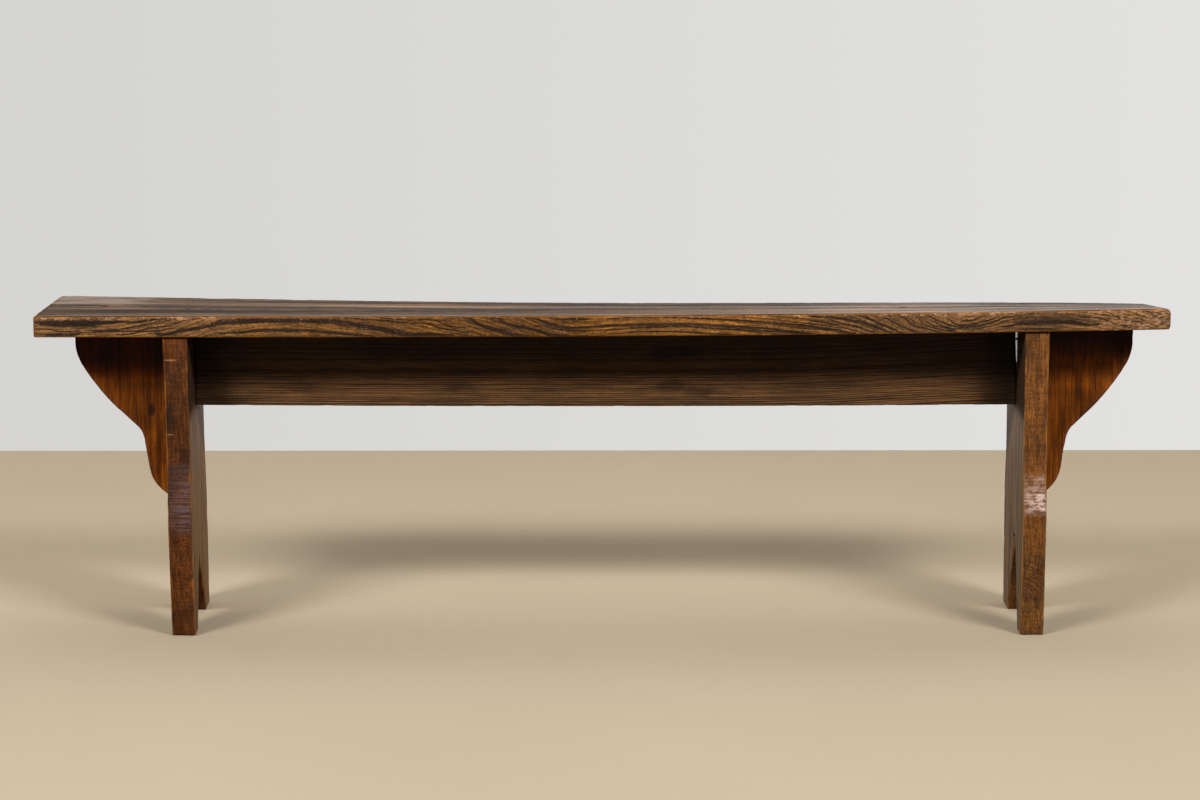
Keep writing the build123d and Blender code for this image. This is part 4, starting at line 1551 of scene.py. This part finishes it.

# %% [markdown]
# The rail shows straight, close grain that rises a little towards its right end. Painted shade makes it
# nearly black towards its top, where the seat shades it, and darker at both ends, next to the legs. Its
# rings are cut so far from the pith that they run as parallel lines.
# %% Mix the rail's finish
rail_finish = new_finish("rail_wood")
rail_look = dict(
    plain_look, shift=(0.3, 0, 0), pith_across=-0.35, pith_below=0.03, ring_width=0.0032, waver=0.003,
    waver_length=0.45, late_share=0.5, late_strength=1.0, thin_strength=0.35, thin_width=0.5, uneven=0.6,
    softness=0.25, early=seen(118, 80, 44), late=seen(22, 12, 6), fibre_length=0.06, fibre_width=0.0016,
    fibre_strength=0.4, pore_share=0.25, wear=0.7, wear_strength=0.4, rough=0.5,
)
rail_place = mark("board")
rail_along, rail_up, rail_through = numbers_of(rail_place)
rail_rise = times(ramp(rail_along, 0.2, 0.6), -0.014)
rail_layer = grain_layers(rail_look, rail_rise)
# Painted shade: the rail's colour darkens towards its top, where the seat shades it.
light_up(rail_layer, ramp(rail_up, -0.02, 0.04, 1.0, 0.42))
# Painted shade at both ends, next to the legs; the right half is also a little darker in tone.
rail_end_shade = times(ramp(rail_along, -0.56, -0.49, 0.35, 1.0), ramp(rail_along, 0.5, 0.56, 1.0, 0.25))
rail_end_shade = times(rail_end_shade, ramp(rail_along, -0.1, 0.2, 1.0, 0.86))
light_up(rail_layer, rail_end_shade)
for along, across, size, share in (
    (0.085, 0.024, 0.013, 0.7), (0.12, 0.024, 0.01, 0.7), (-0.425, -0.026, 0.011, 0.3),
    (-0.2, -0.03, 0.013, 0.35), (0.09, -0.024, 0.014, 0.5), (0.13, -0.034, 0.01, 0.4),
    (0.33, -0.022, 0.012, 0.3),
):
    spot = use(knot, {
        "Place": rail_place, "Along": along, "Across": across, "Through": rail_through, "Size": size,
        "Stretch": 2.4, "Ragged": 60.0,
    })
    share = times(spot["Dark"], share)
    lay(rail_layer, share, rail_look["late"])
rail_colour = wear_layers(rail_look, rail_layer)
close_finish(rail_look, rail_layer, rail_colour)
finish_board(rail, "centre_rail", rail_finish)

# %% [markdown]
# Outside each leg a scrolled bracket carries the end of the seat. Its outline is a quarter-round lobe
# that sweeps into a hollow and ends in a thin toe against the leg. One column of faces, as tall as the
# bracket, is fitted between the leg and that outline, then given its thickness.
# %% Cut a bracket's board
bracket_rows = 84
bracket_arris_radius = 0.0018


def bracket_board(node, side):
    """A bracket's board, from the leg outwards. Side is -1 on the left and 1 on the right."""
    low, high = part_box(node)
    leg_side = min(abs(low.x), abs(high.x))
    head = cast(node, (side * (leg_side + 0.02), rail_side, 1), (0, 0, -1)).z
    board = bmesh.new()
    bmesh.ops.create_grid(board, x_segments=1, y_segments=bracket_rows, size=0.5)
    for vertex in board.verts:
        share = (vertex.co.y + 0.5) ** 1.15
        outer = vertex.co.x > 0
        z = between(low.z, head, share)
        level = held(z, low.z + 0.0012, head - 0.0025)
        inner_x = cast(node, (side * 0.59, rail_side, level), (side, 0, 0)).x
        outer_x = cast(node, (side * 0.95, rail_side, level), (-side, 0, 0)).x
        x = outer_x if outer else inner_x
        if z > head - 0.02:
            over = cast(node, (held(abs(x), leg_side + 0.006, 0.73) * side, rail_side, 1), (0, 0, -1)).z
            z = between(head - 0.02, over, (z - head + 0.02) / 0.02)
        vertex.co = (x, low.y, z)
    for vertex in pushed_out(board):
        vertex.co.y = high.y
    bmesh.ops.recalc_face_normals(board, faces=board.faces[:])
    outside = [
        edge for edge in sharp_edges(board)
        if all(abs(vertex.co.x) > leg_side + 0.0025 + 0.01 * (vertex.co.z < low.z) for vertex in edge.verts)
        and not all(vertex.co.z > head - 0.004 for vertex in edge.verts)
    ]
    distance = edge_finder(outside)
    round_edges(board, outside, bracket_arris_radius)
    slice_board(board, 0, 0.0045, 34)
    slice_board(board, 1, 0.01, 6)
    return board, distance, leg_side


print("the board of a bracket is described, from leg to toe")

# %% [markdown]
# The brackets are the reddest boards. Painted shade makes them nearly black below the seat, and painted
# light makes a paler band just under that shade. The left one has a knot.
# %% Mix the bracket finishes
bracket_look = dict(
    plain_look, pith_across=0.0, pith_below=0.03, ring_width=0.0034, waver=0.012, waver_length=0.22,
    late_share=0.45, late_strength=0.65, thin_strength=0.5, softness=0.6, early=seen(134, 68, 5),
    late=seen(60, 28, 3), pore_share=0.35, pore_width=0.0015, fibre_width=0.0016, fibre_strength=0.35,
    cloud=0.06, cloud_dark=0.5, rough=0.42, arris_rough=0.5, gloss=0.2, wear=0.6, wear_strength=0.4,
    bare=seen(150, 84, 26),
)


def bracket_finish(name, own_look, dark, painted_shade_from, lifted, knot_at):
    """The finish of one bracket."""
    material = new_finish(name)
    look = {**bracket_look, **own_look}
    layer = grain_layers(look)
    board_place = mark("board")
    height, _, through = numbers_of(board_place)
    # Painted light: a band just under the seat's shade is made paler.
    painted_light = ramp(inside(height, *lifted, 0.012), 0.0, 1.0, 1.0, 1.75)
    light_up(layer, painted_light)
    # Painted shade: the top, under the seat, is darkened with a multiplied colour.
    shade = ramp(height, painted_shade_from, painted_shade_from + 0.045)
    lay(layer, shade, dark, "MULTIPLY")
    if knot_at is not None:
        spot = use(knot, {
            "Place": board_place, "Along": knot_at[0], "Across": knot_at[1], "Through": through,
            "Size": 0.007,
        })
        share = times(spot["Dark"], 0.75)
        lay(layer, share, look["pore"])
    colour = wear_layers(look, layer)
    grit = mottle(layer["place"], 2.0, 0.6, scale=420.0)
    grit = times(grit, layer["arris"], 0.0015)
    close_finish(look, layer, colour, grit)
    return material


print("a bracket's look has", len(bracket_look), "values")

# %% [markdown]
# One level nail through the neck of each bracket holds it to its leg, and its head gets a pit as on the
# plank. The parts that touch the seat and the leg aren't worn, so that the joints stay tight.
# %% Build both brackets
left_bracket_look = dict(shift=(0, -0.66, 0), late_strength=0.42, thin_strength=0.3, coarse_strength=0.3)
right_bracket_look = dict(shift=(0.5, 0.67, 0), ring_width=0.0028)
# Each bracket gets its painted shade colour, the height where that shade starts, and its band of painted
# light.
for node, side, own_look, seed, dark, painted_shade_from, lifted, knot_at in (
    ("left_bracket", -1, left_bracket_look, 7.7, (0.36, 0.18, 0.04, 1), 0.33, (0.34, 0.36), (0.3, -0.631)),
    ("right_bracket", 1, right_bracket_look, 8.9, (0.17, 0.08, 0.02, 1), 0.36, (0.33, 0.375), None),
):
    board, distance, leg_side = bracket_board(node, side)
    board.normal_update()
    for low, high in nail_boxes(node + "_nails"):
        if high.x - low.x < 0.03:
            continue
        sink_pit(
            board, lambda face: face.normal.x * side > 0.3, {1: 0.0042, 2: 0.0031}, (low, high), 0.0015,
        )
    mark_places(board, lambda place: Vector((place.z, place.x, place.y)))
    mark_arrises(board, distance)
    weather(board, seed, 0.0003, 0.0009, lambda place: place.z > 0.405 or abs(place.x) < leg_side + 0.003)
    finish_board(
        board, node, bracket_finish(node + "_wood", own_look, dark, painted_shade_from, lifted, knot_at),
    )

# %% [markdown]
# The cut nails stay as the frame's own solids, since only their heads show. They are old iron: nearly
# black, rough, with a little brown rust.
# %% Give the nails their iron
iron = new_finish("old_iron")
iron_place = put("TexCoord").outputs["Object"]
rust = mottle(iron_place, 4.0, 0.6, scale=900.0)
rust_share = ramp(rust, 0.42, 0.66)
iron_colour = tint_over(rust_share, seen(44, 40, 38), seen(82, 50, 32))
iron_rough = ramp(rust, 0.3, 0.7, 0.42, 0.85)
iron_bump = put("Bump", {"Height": times(rust, 0.0002), "Distance": 1.0}).outputs[0]
iron_shader = put("BsdfPrincipled", {
    "Base Color": iron_colour, "Roughness": iron_rough, "Normal": iron_bump, "Metallic": 0.75,
})
give("Surface", iron_shader.outputs[0])
nail_nodes = [name for name in nodes if name.endswith("nails")]
for name in nail_nodes:
    nodes[name].data.materials.clear()
    nodes[name].data.materials.append(iron)
print("iron on", len(nail_nodes), "groups of nails")

# %% [markdown]
# Last, the scene is brought up to date, so that every board sits where it was placed. The finish
# doesn't change the bench's dimensions.
# %% Bring the scene up to date
bpy.context.view_layer.update()
